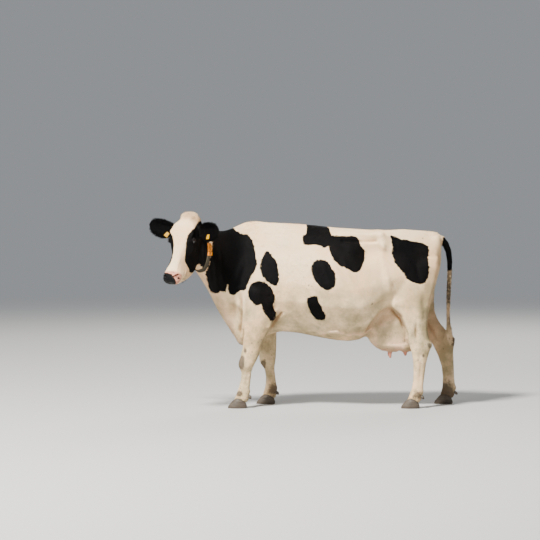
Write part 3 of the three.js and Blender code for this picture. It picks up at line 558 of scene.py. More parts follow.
headRidges = [  # a line (down the face, to the side, out), reach, height
    ([(0.140, 0.088, 0.020), (0.185, 0.104, 0.016), (0.225, 0.104, 0.012)], 0.013, 0.006),  # brow
    ([(0.245, 0.110, -0.050), (0.300, 0.092, -0.062), (0.370, 0.070, -0.064)], 0.014, 0.005),  # cheek bone
    ([(0.330, 0.082, -0.100), (0.345, 0.085, -0.150), (0.335, 0.075, -0.205)], 0.012, -0.004),  # jaw muscle
    ([(0.250, 0.080, -0.005), (0.330, 0.052, -0.006), (0.410, 0.040, -0.008)], 0.018, -0.004),
    ([(0.170, 0.040, 0.036), (0.250, 0.030, 0.024), (0.330, 0.012, 0.010)], 0.022, -0.002),
    ([(0.190, 0.116, -0.052), (0.222, 0.121, -0.062), (0.262, 0.108, -0.056)], 0.006, -0.002),  # under the eye
    ([(0.420, 0.060, -0.100), (0.455, 0.064, -0.105), (0.490, 0.070, -0.095)], 0.010, 0.003),  # whisker bed
]
nostril = [(0.556, 0.031, -0.004), (0.546, 0.047, 0.000), (0.530, 0.061, -0.010), (0.517, 0.070, -0.028)]
mouth = [
    (0.590, 0.000, -0.054), (0.586, 0.030, -0.057), (0.568, 0.058, -0.068), (0.536, 0.075, -0.080),
    (0.502, 0.071, -0.099), (0.474, 0.065, -0.117),
]

philtrum = [(0.520, 0.0, 0.008), (0.560, 0.0, -0.006), (0.586, 0.0, -0.036)]
lips = {"lower": (0, 0.002, -0.013), "upper": (0, 0.002, 0.012)}  # how far each lip's middle lies from the mouth
headSwellings = [  # middle, reach, height
    ((0.150, 0.110, -0.060), (0.030, 0.030, 0.024), -0.006),  # temple
    ((0.030, 0.090, 0.000), (0.050, 0.035, 0.050), -0.008),  # below the poll
    ((0.052, 0.068, 0.014), (0.034, 0.036, 0.032), -0.015),  # beside the poll
    ((0.560, 0.045, -0.040), (0.030, 0.040, 0.020), 0.003),  # upper lip
]
muzzleRidges = [  # line, reach, height, taper
    (nostril, 0.017, 0.004, 0.2), (nostril[:3], 0.0060, -0.016, 0.1), (nostril[1:], 0.0036, -0.010, 0.2),
    (philtrum, 0.0035, -0.0022, 0.18), (mouth, 0.0034, -0.008, 0.12),
    (np.array(mouth) + np.array(lips["lower"]), 0.010, 0.004, 0.2),
    (np.array(mouth) + np.array(lips["upper"]), 0.009, 0.003, 0.2),
]

points = readPoints(skin.data)
normals = readNormals(skin.data)
places = headPlace(points)
places[:, 1] = np.abs(places[:, 1])
spot = np.nonzero((pastNape(points) > 0) & (places[:, 1] < 0.14) & (places[:, 0] < 0.63))[0]
near, out = places[spot], np.zeros(len(spot))
for line, reach, height in headRidges:
    out += ridge(near, line, reach, height, 0.3)
for middle, reach, height in headSwellings:
    out += swell(near, middle, reach, height)
for line, reach, height, taper in muzzleRidges:
    out += ridge(near, line, reach, height, taper)
points[spot] += normals[spot] * out[:, None]

# The lids: skin inside the opening sinks behind the eyeball, and its rim lies on the ball.
eyeLook = {
    "gaze": (0.10, 0.86, 0.48), "lidTilt": 14.0, "wide": 0.84, "upper": 0.50, "lower": 0.36, "lid": 0.0024,
    "furrow": 0.0016, "furrowAt": 0.40, "furrowWide": 0.08, "sunk": 0.80, "front": 0.12,
}


def eyeAxes(side):
    gaze = np.array(eyeLook["gaze"]) * np.array([1, side, 1])
    gaze /= np.linalg.norm(gaze)
    tilt = math.radians(eyeLook["lidTilt"])
    along = np.array([math.cos(tilt), 0, -math.sin(tilt)])
    along -= gaze * (along @ gaze)
    along /= np.linalg.norm(along)
    above = np.cross(gaze, along) * side
    return gaze, along, above * (1 if above[2] > 0 else -1)


def lidOpening(offset, side, radius):  # how far outside the lids' opening a place lies, and how far round the ball
    gaze, along, above = eyeAxes(side)
    reach = np.linalg.norm(offset, axis=1)
    toward = offset / np.maximum(reach, 1e-6)[:, None]
    across, height = toward @ along / eyeLook["wide"], toward @ above
    opening = np.where(height > 0, eyeLook["upper"], eyeLook["lower"]) * (1 - across**2)
    return np.abs(height) - opening, toward @ gaze, reach, toward


places = headPlace(points)
for side, centre in eyeCentres.items():
    spot = np.nonzero(np.linalg.norm(places - centre, axis=1) < 0.060)[0]
    outside, facing, reach, toward = lidOpening(places[spot] - centre, side, eyeSpot["radius"])
    front = facing > eyeLook["front"]
    rimReach = eyeSpot["radius"] + eyeLook["lid"]
    natural = np.maximum(reach, rimReach * blendStep(facing, 0.0, 0.5))
    lid = rimReach + (natural - rimReach) * blendStep(outside, 0.12, 0.60)
    lid -= eyeLook["furrow"] * np.exp(-(((outside - eyeLook["furrowAt"]) / eyeLook["furrowWide"]) ** 2))
    sunk = eyeSpot["radius"] * eyeLook["sunk"]
    wanted = sunk + (lid - sunk) * blendStep(outside, -0.06, 0.0)
    wanted = reach + (wanted - reach) * blendStep(0.056 - reach, 0.0, 0.012)
    moved = centre + toward * wanted[:, None]
    places[spot[front]] = moved[front]
points = fromHead(places)
writePoints(skin.data, points)
print("skin: head forms")


# ---- markings, as signed distances to the edge of the black, in metres

# Outlines on each side of the body: (along, up).
leftPatches = {
    "neck": [
        (-0.780, 1.560), (-0.664, 1.470), (-0.610, 1.432), (-0.571, 1.413), (-0.519, 1.376), (-0.451, 1.359),
        (-0.416, 1.300), (-0.392, 1.183), (-0.390, 1.115), (-0.424, 1.056), (-0.452, 0.996), (-0.472, 0.946),
        (-0.526, 0.929), (-0.570, 0.895), (-0.604, 0.925), (-0.611, 1.000), (-0.616, 1.035), (-0.621, 1.000),
        (-0.626, 0.925), (-0.655, 0.931), (-0.715, 0.908), (-0.752, 0.938), (-0.766, 0.990), (-0.780, 1.070),
        (-0.760, 1.120), (-0.742, 1.196), (-0.730, 1.309), (-0.740, 1.400),
    ],
    "oval": [(-0.305, 1.237), (-0.347, 1.166), (-0.356, 1.099), (-0.322, 1.032), (-0.262, 0.982), (-0.232, 0.974),
             (-0.215, 1.017), (-0.223, 1.134), (-0.254, 1.193)],
    "shoulder": [(-0.381, 1.006), (-0.424, 0.984), (-0.455, 0.913), (-0.424, 0.854), (-0.381, 0.820),
                 (-0.347, 0.828), (-0.322, 0.759), (-0.279, 0.703), (-0.245, 0.703), (-0.233, 0.757),
                 (-0.259, 0.801), (-0.242, 0.863), (-0.259, 0.931), (-0.296, 0.973), (-0.322, 1.000), (-0.347, 1.002)],
    "saddle": [(0.018, 1.600), (0.146, 1.600), (0.158, 1.440), (0.190, 1.412), (0.197, 1.368), (0.280, 1.356),
               (0.378, 1.357), (0.420, 1.320), (0.436, 1.270), (0.461, 1.245), (0.452, 1.153), (0.420, 1.095),
               (0.374, 1.084), (0.331, 1.108), (0.255, 1.146), (0.197, 1.221), (0.181, 1.280), (0.146, 1.271),
               (0.113, 1.290), (0.053, 1.295), (-0.006, 1.295), (-0.023, 1.344), (0.010, 1.394)],
    "flank": [(0.094, 1.176), (0.162, 1.166), (0.204, 1.105), (0.229, 1.055), (0.217, 0.971), (0.169, 0.945),
              (0.127, 0.962), (0.073, 1.020), (0.048, 1.087), (0.052, 1.146)],
    "belly": [(0.043, 0.889), (0.085, 0.890), (0.111, 0.816), (0.145, 0.763), (0.146, 0.714), (0.095, 0.706),
              (0.044, 0.753), (0.009, 0.849), (0.018, 0.879)],
    "rump": [(0.671, 1.360), (0.744, 1.337), (0.917, 1.302), (0.968, 1.264), (0.961, 1.168), (0.966, 1.084),
             (0.946, 1.016), (0.903, 0.986), (0.860, 0.999), (0.818, 1.008), (0.767, 1.076), (0.716, 1.135),
             (0.682, 1.211), (0.682, 1.305)],
}
rightPatches = {
    "neck": leftPatches["neck"][:5] + [
        (-0.440, 1.362), (-0.350, 1.330), (-0.300, 1.240), (-0.310, 1.120), (-0.370, 1.010), (-0.420, 0.930),
        (-0.480, 0.860), (-0.560, 0.880), (-0.655, 0.915), (-0.740, 0.900), (-0.769, 0.990), (-0.783, 1.080),
        (-0.768, 1.130), (-0.748, 1.220), (-0.734, 1.309), (-0.740, 1.400),
    ],
    "saddle": [(0.018, 1.600), (0.112, 1.600), (0.150, 1.440), (0.240, 1.400), (0.300, 1.310), (0.290, 1.200),
               (0.220, 1.090), (0.120, 1.010), (0.020, 0.990), (-0.060, 1.050), (-0.100, 1.160), (-0.070, 1.280),
               (-0.010, 1.370)],
    "flank": [(0.400, 1.180), (0.490, 1.150), (0.540, 1.060), (0.530, 0.940), (0.460, 0.860), (0.380, 0.870),
              (0.330, 0.960), (0.340, 1.090)],
    "belly": [(-0.190, 0.870), (-0.130, 0.880), (-0.070, 0.820), (-0.060, 0.740), (-0.120, 0.690), (-0.190, 0.730),
              (-0.220, 0.800)],
    "rump": [(0.700, 1.600), (0.830, 1.600), (0.860, 1.400), (0.950, 1.340), (0.990, 1.240), (0.960, 1.120),
             (0.880, 1.060), (0.800, 0.960), (0.730, 0.950), (0.700, 1.060), (0.640, 1.160), (0.620, 1.280),
             (0.660, 1.380)],
    "thigh": [(0.820, 0.820), (0.880, 0.830), (0.910, 0.770), (0.890, 0.690), (0.840, 0.680), (0.810, 0.750)],
}
# Face patches: distance down the face, and degrees round the head from the forehead.
facePatches = {
    1: [(-0.060, 40), (-0.015, 46), (0.015, 62), (0.036, 54), (0.085, 46), (0.127, 42), (0.185, 31), (0.235, 29),
        (0.318, 37), (0.388, 55), (0.413, 111), (0.432, 128), (0.412, 146), (0.360, 153), (0.300, 139), (0.247, 128),
        (0.170, 124), (0.110, 128), (0.040, 128), (-0.030, 110)],
    -1: [(-0.030, 84), (0.060, 72), (0.125, 56), (0.171, 41), (0.227, 27), (0.307, 18), (0.385, 14), (0.440, 16),
         (0.482, 34), (0.470, 70), (0.440, 129), (0.413, 149), (0.360, 160), (0.300, 140), (0.247, 124),
         (0.170, 122), (0.110, 128), (0.040, 128), (-0.030, 110)],
}
roundTheHead = 0.0021  # metres for each degree round the head
tailPatch = {"top": 1.345, "bottom": 1.085, "behind": 1.075}


def aroundHead(places):  # degrees round the head's long axis from the middle of the forehead
    return np.degrees(np.arctan2(places[:, 1], places[:, 2] + stance["throatDepth"]))


def blackness(points, onHead, onEar, onTail):
    onLeft = points[:, 1] < spineY
    flat = points[:, [0, 2]]
    black = np.full(len(points), -0.2)
    neckward = flat[:, 0] < -0.50
    for patches, here in ((leftPatches, onLeft), (rightPatches, ~onLeft)):
        here = np.nonzero(here & ~onHead & ~onEar & ~onTail)[0]
        for outline in patches.values():
            black[here] = np.maximum(black[here], insideBy(flat[here], outline))
    here = np.nonzero(neckward & ~onHead & ~onEar)[0]
    black[here] = np.maximum(black[here], insideBy(flat[here], leftPatches["neck"]))
    places = headPlace(points)
    angle = aroundHead(places)
    for side, outline in facePatches.items():
        here = np.nonzero(onHead & (angle * side >= 0))[0]
        scaled = np.array(outline, float) * np.array([1, roundTheHead])
        flat = np.stack([places[here, 0], np.abs(angle[here]) * roundTheHead], 1)
        black[here] = np.maximum(black[here], insideBy(flat, scaled))
    black[onEar] = 0.05
    level = points[:, 2]
    tail = np.minimum(tailPatch["top"] - level, level - tailPatch["bottom"])
    black[onTail] = np.where(points[onTail, 0] > tailPatch["behind"], tail[onTail], -0.1)
    return black


# ---- the finished skin: fewer faces where it is plain

points = readPoints(skin.data)
plainShare = blendStep(-pastNape(points), -0.02, 0.06) * blendStep(points[:, 2], 0.10, 0.20)
plainShare[np.isin(shellKeys[nearestPart(points)], ("tail", "tail_tip", "teat"))] = 0.0
group = skin.vertex_groups.new(name="plain")
for level in range(skinPlan["plainShares"]):
    last = skinPlan["plainShares"] - 1
    chosen = np.nonzero(np.round(plainShare * last) == level)[0]
    group.add(chosen.tolist(), 0.1 + 0.6 * level / last, "REPLACE")
faceCount = sum(len(p.vertices) - 2 for p in skin.data.polygons)
thin = skin.modifiers.new("thin", "DECIMATE")
thin.ratio = min(1.0, skinPlan["faces"] / faceCount)
thin.vertex_group = "plain"
thin.vertex_group_factor = 1000
applyModifiers(skin)
skin.vertex_groups.clear()
skin.data.shade_smooth()
print("skin: thinned to", len(skin.data.polygons), "faces")

points = readPoints(skin.data)
normals = readNormals(skin.data)
part = nearestPart(points)
partKeys = shellKeys[part]
onHead, onEar = np.isin(partKeys, ("head", "eye")), partKeys == "ear"
onTail, onUdder, onTeat = np.isin(partKeys, ("tail", "tail_tip")), partKeys == "udder", partKeys == "teat"
level, udderward = points[:, 2], points[:, 0] > 0.44
black = blackness(points, onHead, onEar, onTail)
ragged = {"scale": 38.0, "reach": 0.0085, "rough": 0.8, "finer": 2.1, "octaves": 3, "wider": 0.003, "onHead": 0.25}
tatters = np.array([
    fractal(Vector(p) * ragged["scale"], ragged["rough"], ragged["finer"], ragged["octaves"]) for p in points.tolist()
])
tatters = tatters * ragged["reach"] + ragged["wider"]
black += tatters * np.where(onHead, ragged["onHead"], 1.0) * (np.abs(black) < 0.1)

# Thin hair and bare skin, pink where it is not black.
pinkness = {
    "udder": 0.10, "lowUdder": 0.60, "teat": 1.6, "groin": 0.5, "midline": 0.45, "breast": 0.6, "breastReach": 0.06,
}
breastLine = [(-0.78, -0.10, 0.98), (-0.66, 0.05, 0.76), (-0.56, 0.11, 0.54), (-0.50, 0.116, 0.47)]
sideways = np.abs(points[:, 1] - spineY)
places = headPlace(points)
pink = np.where(onUdder, pinkness["udder"] + pinkness["lowUdder"] * blendStep(0.56 - level, 0, 0.12), 0.0)
pink += np.where(onTeat, pinkness["teat"], 0.0)
pink += pinkness["groin"] * blendStep(0.19 - sideways, 0.0, 0.06) * blendStep(-level, -0.95, -0.75) * udderward
pink += pinkness["midline"] * blendStep(0.05 - sideways, 0.0, 0.03) * (level < 0.62) * (points[:, 0] < 0.44)
breast = (points[:, 0] < -0.5) & ~onHead
fromBreast = nearLine(points[breast], breastLine)[0]
pink[breast] += pinkness["breast"] * np.exp(-((fromBreast / pinkness["breastReach"]) ** 2))
pink = np.clip(pink, 0, pinkness["teat"])

# The muzzle's bare skin, its black, and painted shade inside the nostrils and along the mouth.
muzzle = {
    "from": (0.500, 0.518), "half": 62, "lowest": (-0.078, -0.066), "blackFrom": 0.537, "spot": (0.552, 44),
    "spotRadius": 0.0065, "nostrilDark": 0.0085, "mouthDark": 0.0032,
}
angle = aroundHead(places)
nose = blendStep(places[:, 0], *muzzle["from"]) * blendStep(muzzle["half"] - np.abs(angle), 0, 10)
nose = np.where(onHead, nose, 0.0)
nose *= blendStep(places[:, 2], *muzzle["lowest"])
noseBlack = places[:, 0] - muzzle["blackFrom"] + 0.0004 * (12 - angle) * (angle < 12)
noseBlack -= 0.0017 * np.maximum(angle - 10, 0)
noseSpot = np.hypot(places[:, 0] - muzzle["spot"][0], (angle - muzzle["spot"][1]) * 0.0011)
noseBlack = np.where(onHead, np.maximum(noseBlack, muzzle["spotRadius"] - noseSpot), -0.1)
bothSides = places * np.array([1, 0, 1]) + np.abs(places) * np.array([0, 1, 0])
# Painted shade: the nostrils and the mouth line are painted near black.
nostrilMouthShade = np.exp(-((nearLine(bothSides, nostril[:3])[0] / muzzle["nostrilDark"]) ** 4))
nostrilMouthShade = np.maximum(nostrilMouthShade, 0.8 * np.exp(-((nearLine(bothSides, mouth)[0] / muzzle["mouthDark"]) ** 2)))
nostrilMouthShade *= onHead
lidsBare = np.zeros(len(points))
for side, centre in eyeCentres.items():
    spot = np.nonzero(np.linalg.norm(places - centre, axis=1) < 0.045)[0]
    outside, facing, reach, toward = lidOpening(places[spot] - centre, side, eyeSpot["radius"])
    lidsBare[spot] = blendStep(-outside, -0.16, -0.02) * (facing > eyeLook["front"])

# Soiled and rubbed places: middle, reach each way, how dark.
stains = [
    ((-0.508, -0.070, 0.352), (0.034, 0.050, 0.050), 1.9), ((-0.495, -0.070, 0.400), (0.022, 0.040, 0.030), 0.9),
    ((-0.477, -0.080, 0.462), (0.015, 0.040, 0.028), 1.6), ((-0.333, 0.275, 0.325), (0.028, 0.040, 0.048), 1.8),
    ((-0.522, -0.070, 0.118), (0.028, 0.040, 0.022), 1.5), ((-0.250, 0.285, 0.120), (0.060, 0.060, 0.060), 1.2),
    ((0.926, -0.090, 0.424), (0.014, 0.030, 0.017), 1.9), ((0.972, -0.070, 0.500), (0.020, 0.040, 0.030), 1.5),
    ((1.190, 0.300, 0.500), (0.030, 0.050, 0.060), 1.3), ((1.130, 0.300, 0.060), (0.085, 0.060, 0.130), 1.7),
    ((1.110, 0.290, 0.300), (0.070, 0.060, 0.110), 0.4), ((0.880, -0.070, 0.110), (0.050, 0.050, 0.050), 0.9),
    ((0.800, 0.000, 0.520), (0.100, 0.080, 0.080), 0.5), ((0.860, 0.116, 0.560), (0.080, 0.100, 0.120), 0.6),
    ((-0.245, -0.090, 0.716), (0.012, 0.040, 0.014), 1.4), ((-0.262, -0.090, 0.690), (0.010, 0.040, 0.012), 1.2),
    ((0.520, -0.150, 0.834), (0.014, 0.080, 0.014), 1.2), ((0.800, -0.130, 0.860), (0.070, 0.060, 0.060), 0.4),
    ((0.990, 0.010, 1.130), (0.030, 0.050, 0.090), 0.5), ((1.150, 0.116, 0.680), (0.040, 0.040, 0.120), 0.7),
    ((0.927, -0.060, 1.338), (0.010, 0.060, 0.010), 1.4), ((1.100, 0.116, 0.900), (0.050, 0.040, 0.160), 0.6),
]
stainSpread = np.array([1.0, 2.6, 1.0])
dirt = np.zeros(len(points))
for middle, reach, dark in stains:
    dirt += swell(points, middle, np.array(reach) * stainSpread, dark)
dirt += 0.22 * blendStep(0.34 - level, 0, 0.25)
dirt = np.clip(dirt, 0, 1.3)
tailDirt = np.where(onTail, blendStep(1.12 - level, 0, 0.05) * blendStep(level - 0.72, 0, 0.15), 0)

# Small dark flecks on the barrel, the lower parts and the poll.
flecks = swell(points, (0.035, -0.20, 1.06), (0.07, 0.3, 0.16), 1.8) + 0.6 * np.where(level < 0.6, 1, 0)
flecks += 1.3 * swell(places, (0.02, 0.0, 0.0), (0.07, 0.12, 0.08), 1.0) * onHead
flecks = np.clip(flecks + tailDirt, 0, 1) * (points[:, 1] < spineY + 0.4)

# Painted shade: hollows are painted darker and warmer, the far thigh is painted darker and warmer as well, and the
# lower parts carry dust together with painted shade.
meanOver = neighbourMean(skin.data)
hollow = ((meanOver(points) - points) * normals).sum(1)
for _ in range(4):
    hollow = meanOver(hollow)
# Painted shade in the creases: concave skin gets a darker, warmer colour.
crease = blendStep(hollow, 0.00012, 0.0009) * ~onHead * np.where(points[:, 0] > 0.44, 0.3, 1.0)
crease = np.clip(crease + swell(points, (1.000, 0.280, 0.620), (0.200, 0.090, 0.320), 0.9), 0, 1)
# Dust and painted shade over the lower body and toward the rear.
veil = 0.95 * blendStep(1.20 - level, 0, 0.52) + 0.25 * blendStep(points[:, 0] - 0.75, 0, 0.25)

# The knots of the milk vein get a painted highlight, being cleared of dust and painted shade, and are rosier, while the
# belly round them gets more painted shade.
veinLook = {"knot": (0.024, 1.0, 0.015), "above": 0.006, "belly": (0.30, 0, 0.560), "bellyReach": (0.300, 1.0, 0.060)}
flat, onBelly = points * np.array([1, 0, 1]), level < 0.66
knotHighlightAndRose = np.zeros(len(points))
for x, z in veinKnots + milkVein[2:]:
    knotHighlightAndRose += swell(flat, (x, 0, z + veinLook["above"]), veinLook["knot"], 1.0)
knotHighlightAndRose = np.clip(knotHighlightAndRose, 0, 1) * onBelly
# Painted shade on the belly round the knots.
veil += 0.5 * swell(flat, veinLook["belly"], veinLook["bellyReach"], 1.0) * onBelly
# Painted highlight: less dust and shade on the knots.
veil = np.clip(veil * np.where(onTail, 0.5, 1.0) * (1 - 0.95 * knotHighlightAndRose), 0, 1.2)
pink = np.maximum(pink, 0.42 * knotHighlightAndRose)

markings = {
    "crease": crease, "veil": veil, "black": black, "pink": pink, "nose": nose, "noseBlack": noseBlack,
    "lids": lidsBare, "dirt": dirt, "tailDirt": tailDirt, "flecks": flecks, "hollow": nostrilMouthShade,
}
for name, values in markings.items():
    setAttribute(skin.data, name, values)
print("skin: markings")


# ---- finishes


class Finish:  # a material and short ways to add nodes to it
    def __init__(self, name):
        self.material = bpy.data.materials.new(name)
        self.material.use_nodes = True
        self.tree = self.material.node_tree
        self.surface = self.tree.nodes["Principled BSDF"]
        self.place = self.add("ShaderNodeTexCoord").outputs["Object"]

    def add(self, kind, **values):
        node = self.tree.nodes.new(kind)
        for key, value in values.items():
            setattr(node, key, value)
        return node

    def put(self, value, socket):
        if isinstance(value, bpy.types.NodeSocket):
            self.tree.links.new(value, socket)
        elif hasattr(value, "__len__") and len(value) == 3 and socket.type == "RGBA":
            socket.default_value = (*value, 1)
        else:
            socket.default_value = value

    def attribute(self, name):
        return self.add("ShaderNodeAttribute", attribute_name=name).outputs["Fac"]

    def noise(self, scale, detail=3, rough=0.55, stretch=None, turned=(0, 0, 0)):
        node = self.add("ShaderNodeTexNoise")
        node.inputs["Scale"].default_value = scale
        node.inputs["Detail"].default_value = detail
        node.inputs["Roughness"].default_value = rough
        place = self.place
        if stretch:
            mapping = self.add("ShaderNodeMapping")
            mapping.inputs["Rotation"].default_value = turned
            mapping.inputs["Scale"].default_value = stretch
            self.put(self.place, mapping.inputs["Vector"])
            place = mapping.outputs["Vector"]
        self.put(place, node.inputs["Vector"])
        return node.outputs["Fac"]

    def cells(self, scale, feature="F1"):
        node = self.add("ShaderNodeTexVoronoi", feature=feature)
        node.inputs["Scale"].default_value = scale
        self.put(self.place, node.inputs["Vector"])
        return node.outputs["Distance"]

    def sums(self, operation, a, b=0.0, c=0.0):
        node = self.add("ShaderNodeMath", operation=operation)
        for value, socket in zip((a, b, c), node.inputs):
            self.put(value, socket)
        return node.outputs[0]

    def times(self, a, b):
        return self.sums("MULTIPLY", a, b)

    def shift(self, value, reach, *grain):  # the value moved up and down by noise
        wobble = self.times(self.sums("SUBTRACT", self.noise(*grain), 0.5), reach)
        return self.sums("ADD", value, wobble)

    def step(self, value, low, high):
        node = self.add("ShaderNodeMapRange", interpolation_type="SMOOTHSTEP")
        self.put(value, node.inputs["Value"])
        node.inputs["From Min"].default_value = low
        node.inputs["From Max"].default_value = high
        return node.outputs["Result"]

    def mix(self, share, a, b):
        node = self.add("ShaderNodeMix", data_type="RGBA")
        self.put(share, node.inputs["Factor"])
        self.put(a, node.inputs["A"])
        self.put(b, node.inputs["B"])
        return node.outputs["Result"]

    def bump(self, height, strength, distance, under=None):
        node = self.add("ShaderNodeBump")
        node.inputs["Strength"].default_value = strength
        node.inputs["Distance"].default_value = distance
        self.put(height, node.inputs["Height"])
        if under:
            self.put(under, node.inputs["Normal"])
        return node.outputs["Normal"]

    def set(self, **values):
        for key, value in values.items():
            self.put(value, self.surface.inputs[key.replace("_", " ")])
        return self.material


coatColours = {
    "white": (0.88, 0.675, 0.420), "warm": (0.86, 0.570, 0.320), "cool": (0.75, 0.615, 0.410),
    "black": (0.0011, 0.0010, 0.0012), "rust": (0.0038, 0.0029, 0.0026), "pink": (0.66, 0.40, 0.285),
    "soil": (0.085, 0.056, 0.036), "grey": (0.080, 0.062, 0.048), "fleck": (0.055, 0.046, 0.04),
    # The dust colour also stands for painted shade on the lower body and belly.
    # fold is the colour of the painted shade in hollows and creases.
    "fold": (0.40, 0.235, 0.120), "dust": (0.330, 0.265, 0.145), "teat": (0.46, 0.195, 0.130),
    "nose": (0.56, 0.27, 0.185), "noseRed": (0.44, 0.185, 0.130), "noseSpots": (0.07, 0.035, 0.030),
    # hollow is the colour of the painted shade in the nostrils and the mouth.
    "noseDark": (0.0020, 0.0019, 0.0022), "lids": (0.010, 0.008, 0.008), "hollow": (0.006, 0.004, 0.004),
}
# The fold share sets how strong the painted hollow shade is.
coatShares = {"cool": 0.55, "pink": 0.8, "fold": 0.62, "soil": 0.85, "tailSoil": 0.8, "noseSpots": 0.75}


def coatColour(finish):  # the colour that skin and hair share
    tone, share = coatColours, coatShares
    broad = finish.noise(2.3, 4)
    blotch = finish.noise(9.0, 4)
    white = finish.mix(finish.step(broad, 0.40, 0.68), tone["white"], tone["warm"])
    white = finish.mix(finish.times(finish.step(blotch, 0.50, 0.75), share["cool"]), white, tone["cool"])
    white = finish.mix(finish.times(finish.attribute("pink"), share["pink"]), white, tone["pink"])
    # Dust together with painted shade, strongest on the lower body.
    dustAndShade = finish.times(finish.attribute("veil"), finish.step(finish.noise(6.0, 5, 0.65), 0.28, 0.72))
    white = finish.mix(dustAndShade, white, tone["dust"])
    # Painted shade in the hollows, and the darker far thigh, toward the fold colour.
    white = finish.mix(finish.times(finish.attribute("crease"), share["fold"]), white, tone["fold"])
    white = finish.mix(finish.step(finish.attribute("pink"), 1.0, 1.5), white, tone["teat"])
    freckle = finish.times(finish.step(finish.noise(58.0, 2), 0.665, 0.70), finish.attribute("flecks"))
    white = finish.mix(freckle, white, tone["fleck"])
    inside = finish.step(finish.shift(finish.attribute("black"), 0.024, 75.0, 4, 0.62), -0.0011, 0.0011)
    dark = finish.mix(finish.step(broad, 0.45, 0.70), tone["black"], tone["rust"])
    colour = finish.mix(inside, white, dark)
    soil = finish.mix(finish.step(blotch, 0.45, 0.60), tone["soil"], tone["grey"])
    patchy = finish.step(finish.shift(finish.attribute("dirt"), 1.5, 34.0, 4, 0.7), 0.35, 1.0)
    colour = finish.mix(finish.times(patchy, share["soil"]), colour, soil)
    onTheTail = finish.attribute("tailDirt")
    mottled = finish.step(finish.shift(onTheTail, 3.0, 48.0, 3, 0.7), 0.55, 0.95)
    mottled = finish.times(mottled, finish.step(onTheTail, 0.02, 0.2))
    return finish.mix(finish.times(mottled, share["tailSoil"]), colour, soil)


def hideFinish(name, gloss, dullest, change):  # change is how much smoother its bare skin is
    hide, tone = Finish(name), coatColours
    colour = coatColour(hide)
    bare = hide.attribute("nose")
    noseDark = hide.step(hide.shift(hide.attribute("noseBlack"), 0.020, 60.0, 4), -0.002, 0.002)
    spots = hide.step(hide.noise(95.0, 2), 0.60, 0.66)
    rosy = hide.mix(hide.step(hide.noise(38.0, 4), 0.35, 0.70), tone["nose"], tone["noseRed"])
    rosy = hide.mix(hide.times(spots, coatShares["noseSpots"]), rosy, tone["noseSpots"])
    colour = hide.mix(bare, colour, hide.mix(noseDark, rosy, tone["noseDark"]))
    colour = hide.mix(hide.attribute("lids"), colour, tone["lids"])
    # Painted shade inside the nostrils and along the mouth.
    colour = hide.mix(hide.attribute("hollow"), colour, tone["hollow"])
    hairs = hide.noise(420.0, 3, 0.6, stretch=(0.22, 0.9, 1.0), turned=(0, 0.55, 0))
    clumps = hide.noise(85.0, 4, 0.6, stretch=(0.4, 0.8, 1.0), turned=(0, 0.5, 0))
    wrinkles = hide.noise(24.0, 5, 0.6, stretch=(0.8, 1.0, 0.6))
    normal = hide.bump(wrinkles, 0.35, 0.006)
    normal = hide.bump(clumps, 0.30, 0.0025, normal)
    normal = hide.bump(hairs, 0.35, 0.0010, normal)
    pores = hide.bump(hide.cells(190.0, "SMOOTH_F1"), 0.7, 0.0022)
    blendNormal = hide.add("ShaderNodeMix", data_type="VECTOR")
    hide.put(bare, blendNormal.inputs["Factor"])
    hide.put(normal, blendNormal.inputs[4])
    hide.put(pores, blendNormal.inputs[5])
    rough = hide.sums("MULTIPLY_ADD", bare, -change, dullest)
    hide.set(Base_Color=colour, Roughness=rough, Normal=blendNormal.outputs[1], Specular_IOR_Level=gloss)
    hide.surface.inputs["Subsurface Weight"].default_value = 0.06
    hide.surface.inputs["Subsurface Scale"].default_value = 0.006
    return hide.material


for material in (hideFinish("hide with short coat", 0.08, 0.70, 0.2), hideFinish("moist muzzle", 0.14, 0.70, 0.24)):
    skin.data.materials.append(material)
corner = readRows(skin.data.loops, "vertex_index")
start = readRows(skin.data.polygons, "loop_start")
skin.data.polygons.foreach_set("material_index", (nose[corner[start]] > 0.5).astype(np.int32))
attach(skin, "root")
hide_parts(*fleshNames)
print("skin: finish")


# ---- closed forms through rings of points


def ringFaces(count, around):  # triangles of a tube of rings, with a fan over each end
    i, j = (each.ravel() for each in np.meshgrid(np.arange(count - 1), np.arange(around), indexing="ij"))
    a, b = i * around + j, i * around + (j + 1) % around
    end, after, last = np.arange(around), (np.arange(around) + 1) % around, (count - 1) * around
    first, final = np.full(around, count * around), np.full(around, count * around + 1)
    return np.concatenate([
        np.stack([a, b, b + around], 1), np.stack([a, b + around, a + around], 1),
        np.stack([after, end, first], 1), np.stack([last + end, last + after, final], 1),
    ])


def ringSolid(name, rings):
    rings = np.asarray(rings, float)
    points = np.concatenate([rings.reshape(-1, 3), rings[:1].mean(1), rings[-1:].mean(1)])
    faces = ringFaces(*rings.shape[:2])
    a, b, c = (points[faces[:, k]] for k in range(3))
    if (np.cross(a, b) * c).sum() < 0:
        faces = faces[:, ::-1]
    piece = meshPiece(name, points, np.ascontiguousarray(faces))
    piece.data.shade_smooth()
    return piece


def dress(piece, finish, slot, *nodes):  # its finish, and the nodes that it takes the place of
    piece.data.materials.append(finish.material)
    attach(piece, "root")
    if nodes:
        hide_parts(*nodes)


def nodeAxes(points):  # middle, half lengths and axes of a set of points, longest first
    points = np.unique(np.round(points, 5), axis=0)
    middle = points.mean(0)
    axes = np.linalg.svd(points - middle)[2]
    spread = (points - middle) @ axes.T
    low, high = spread.min(0), spread.max(0)
    return middle + (low + high) / 2 @ axes, (high - low) / 2, axes


# ---- eyes

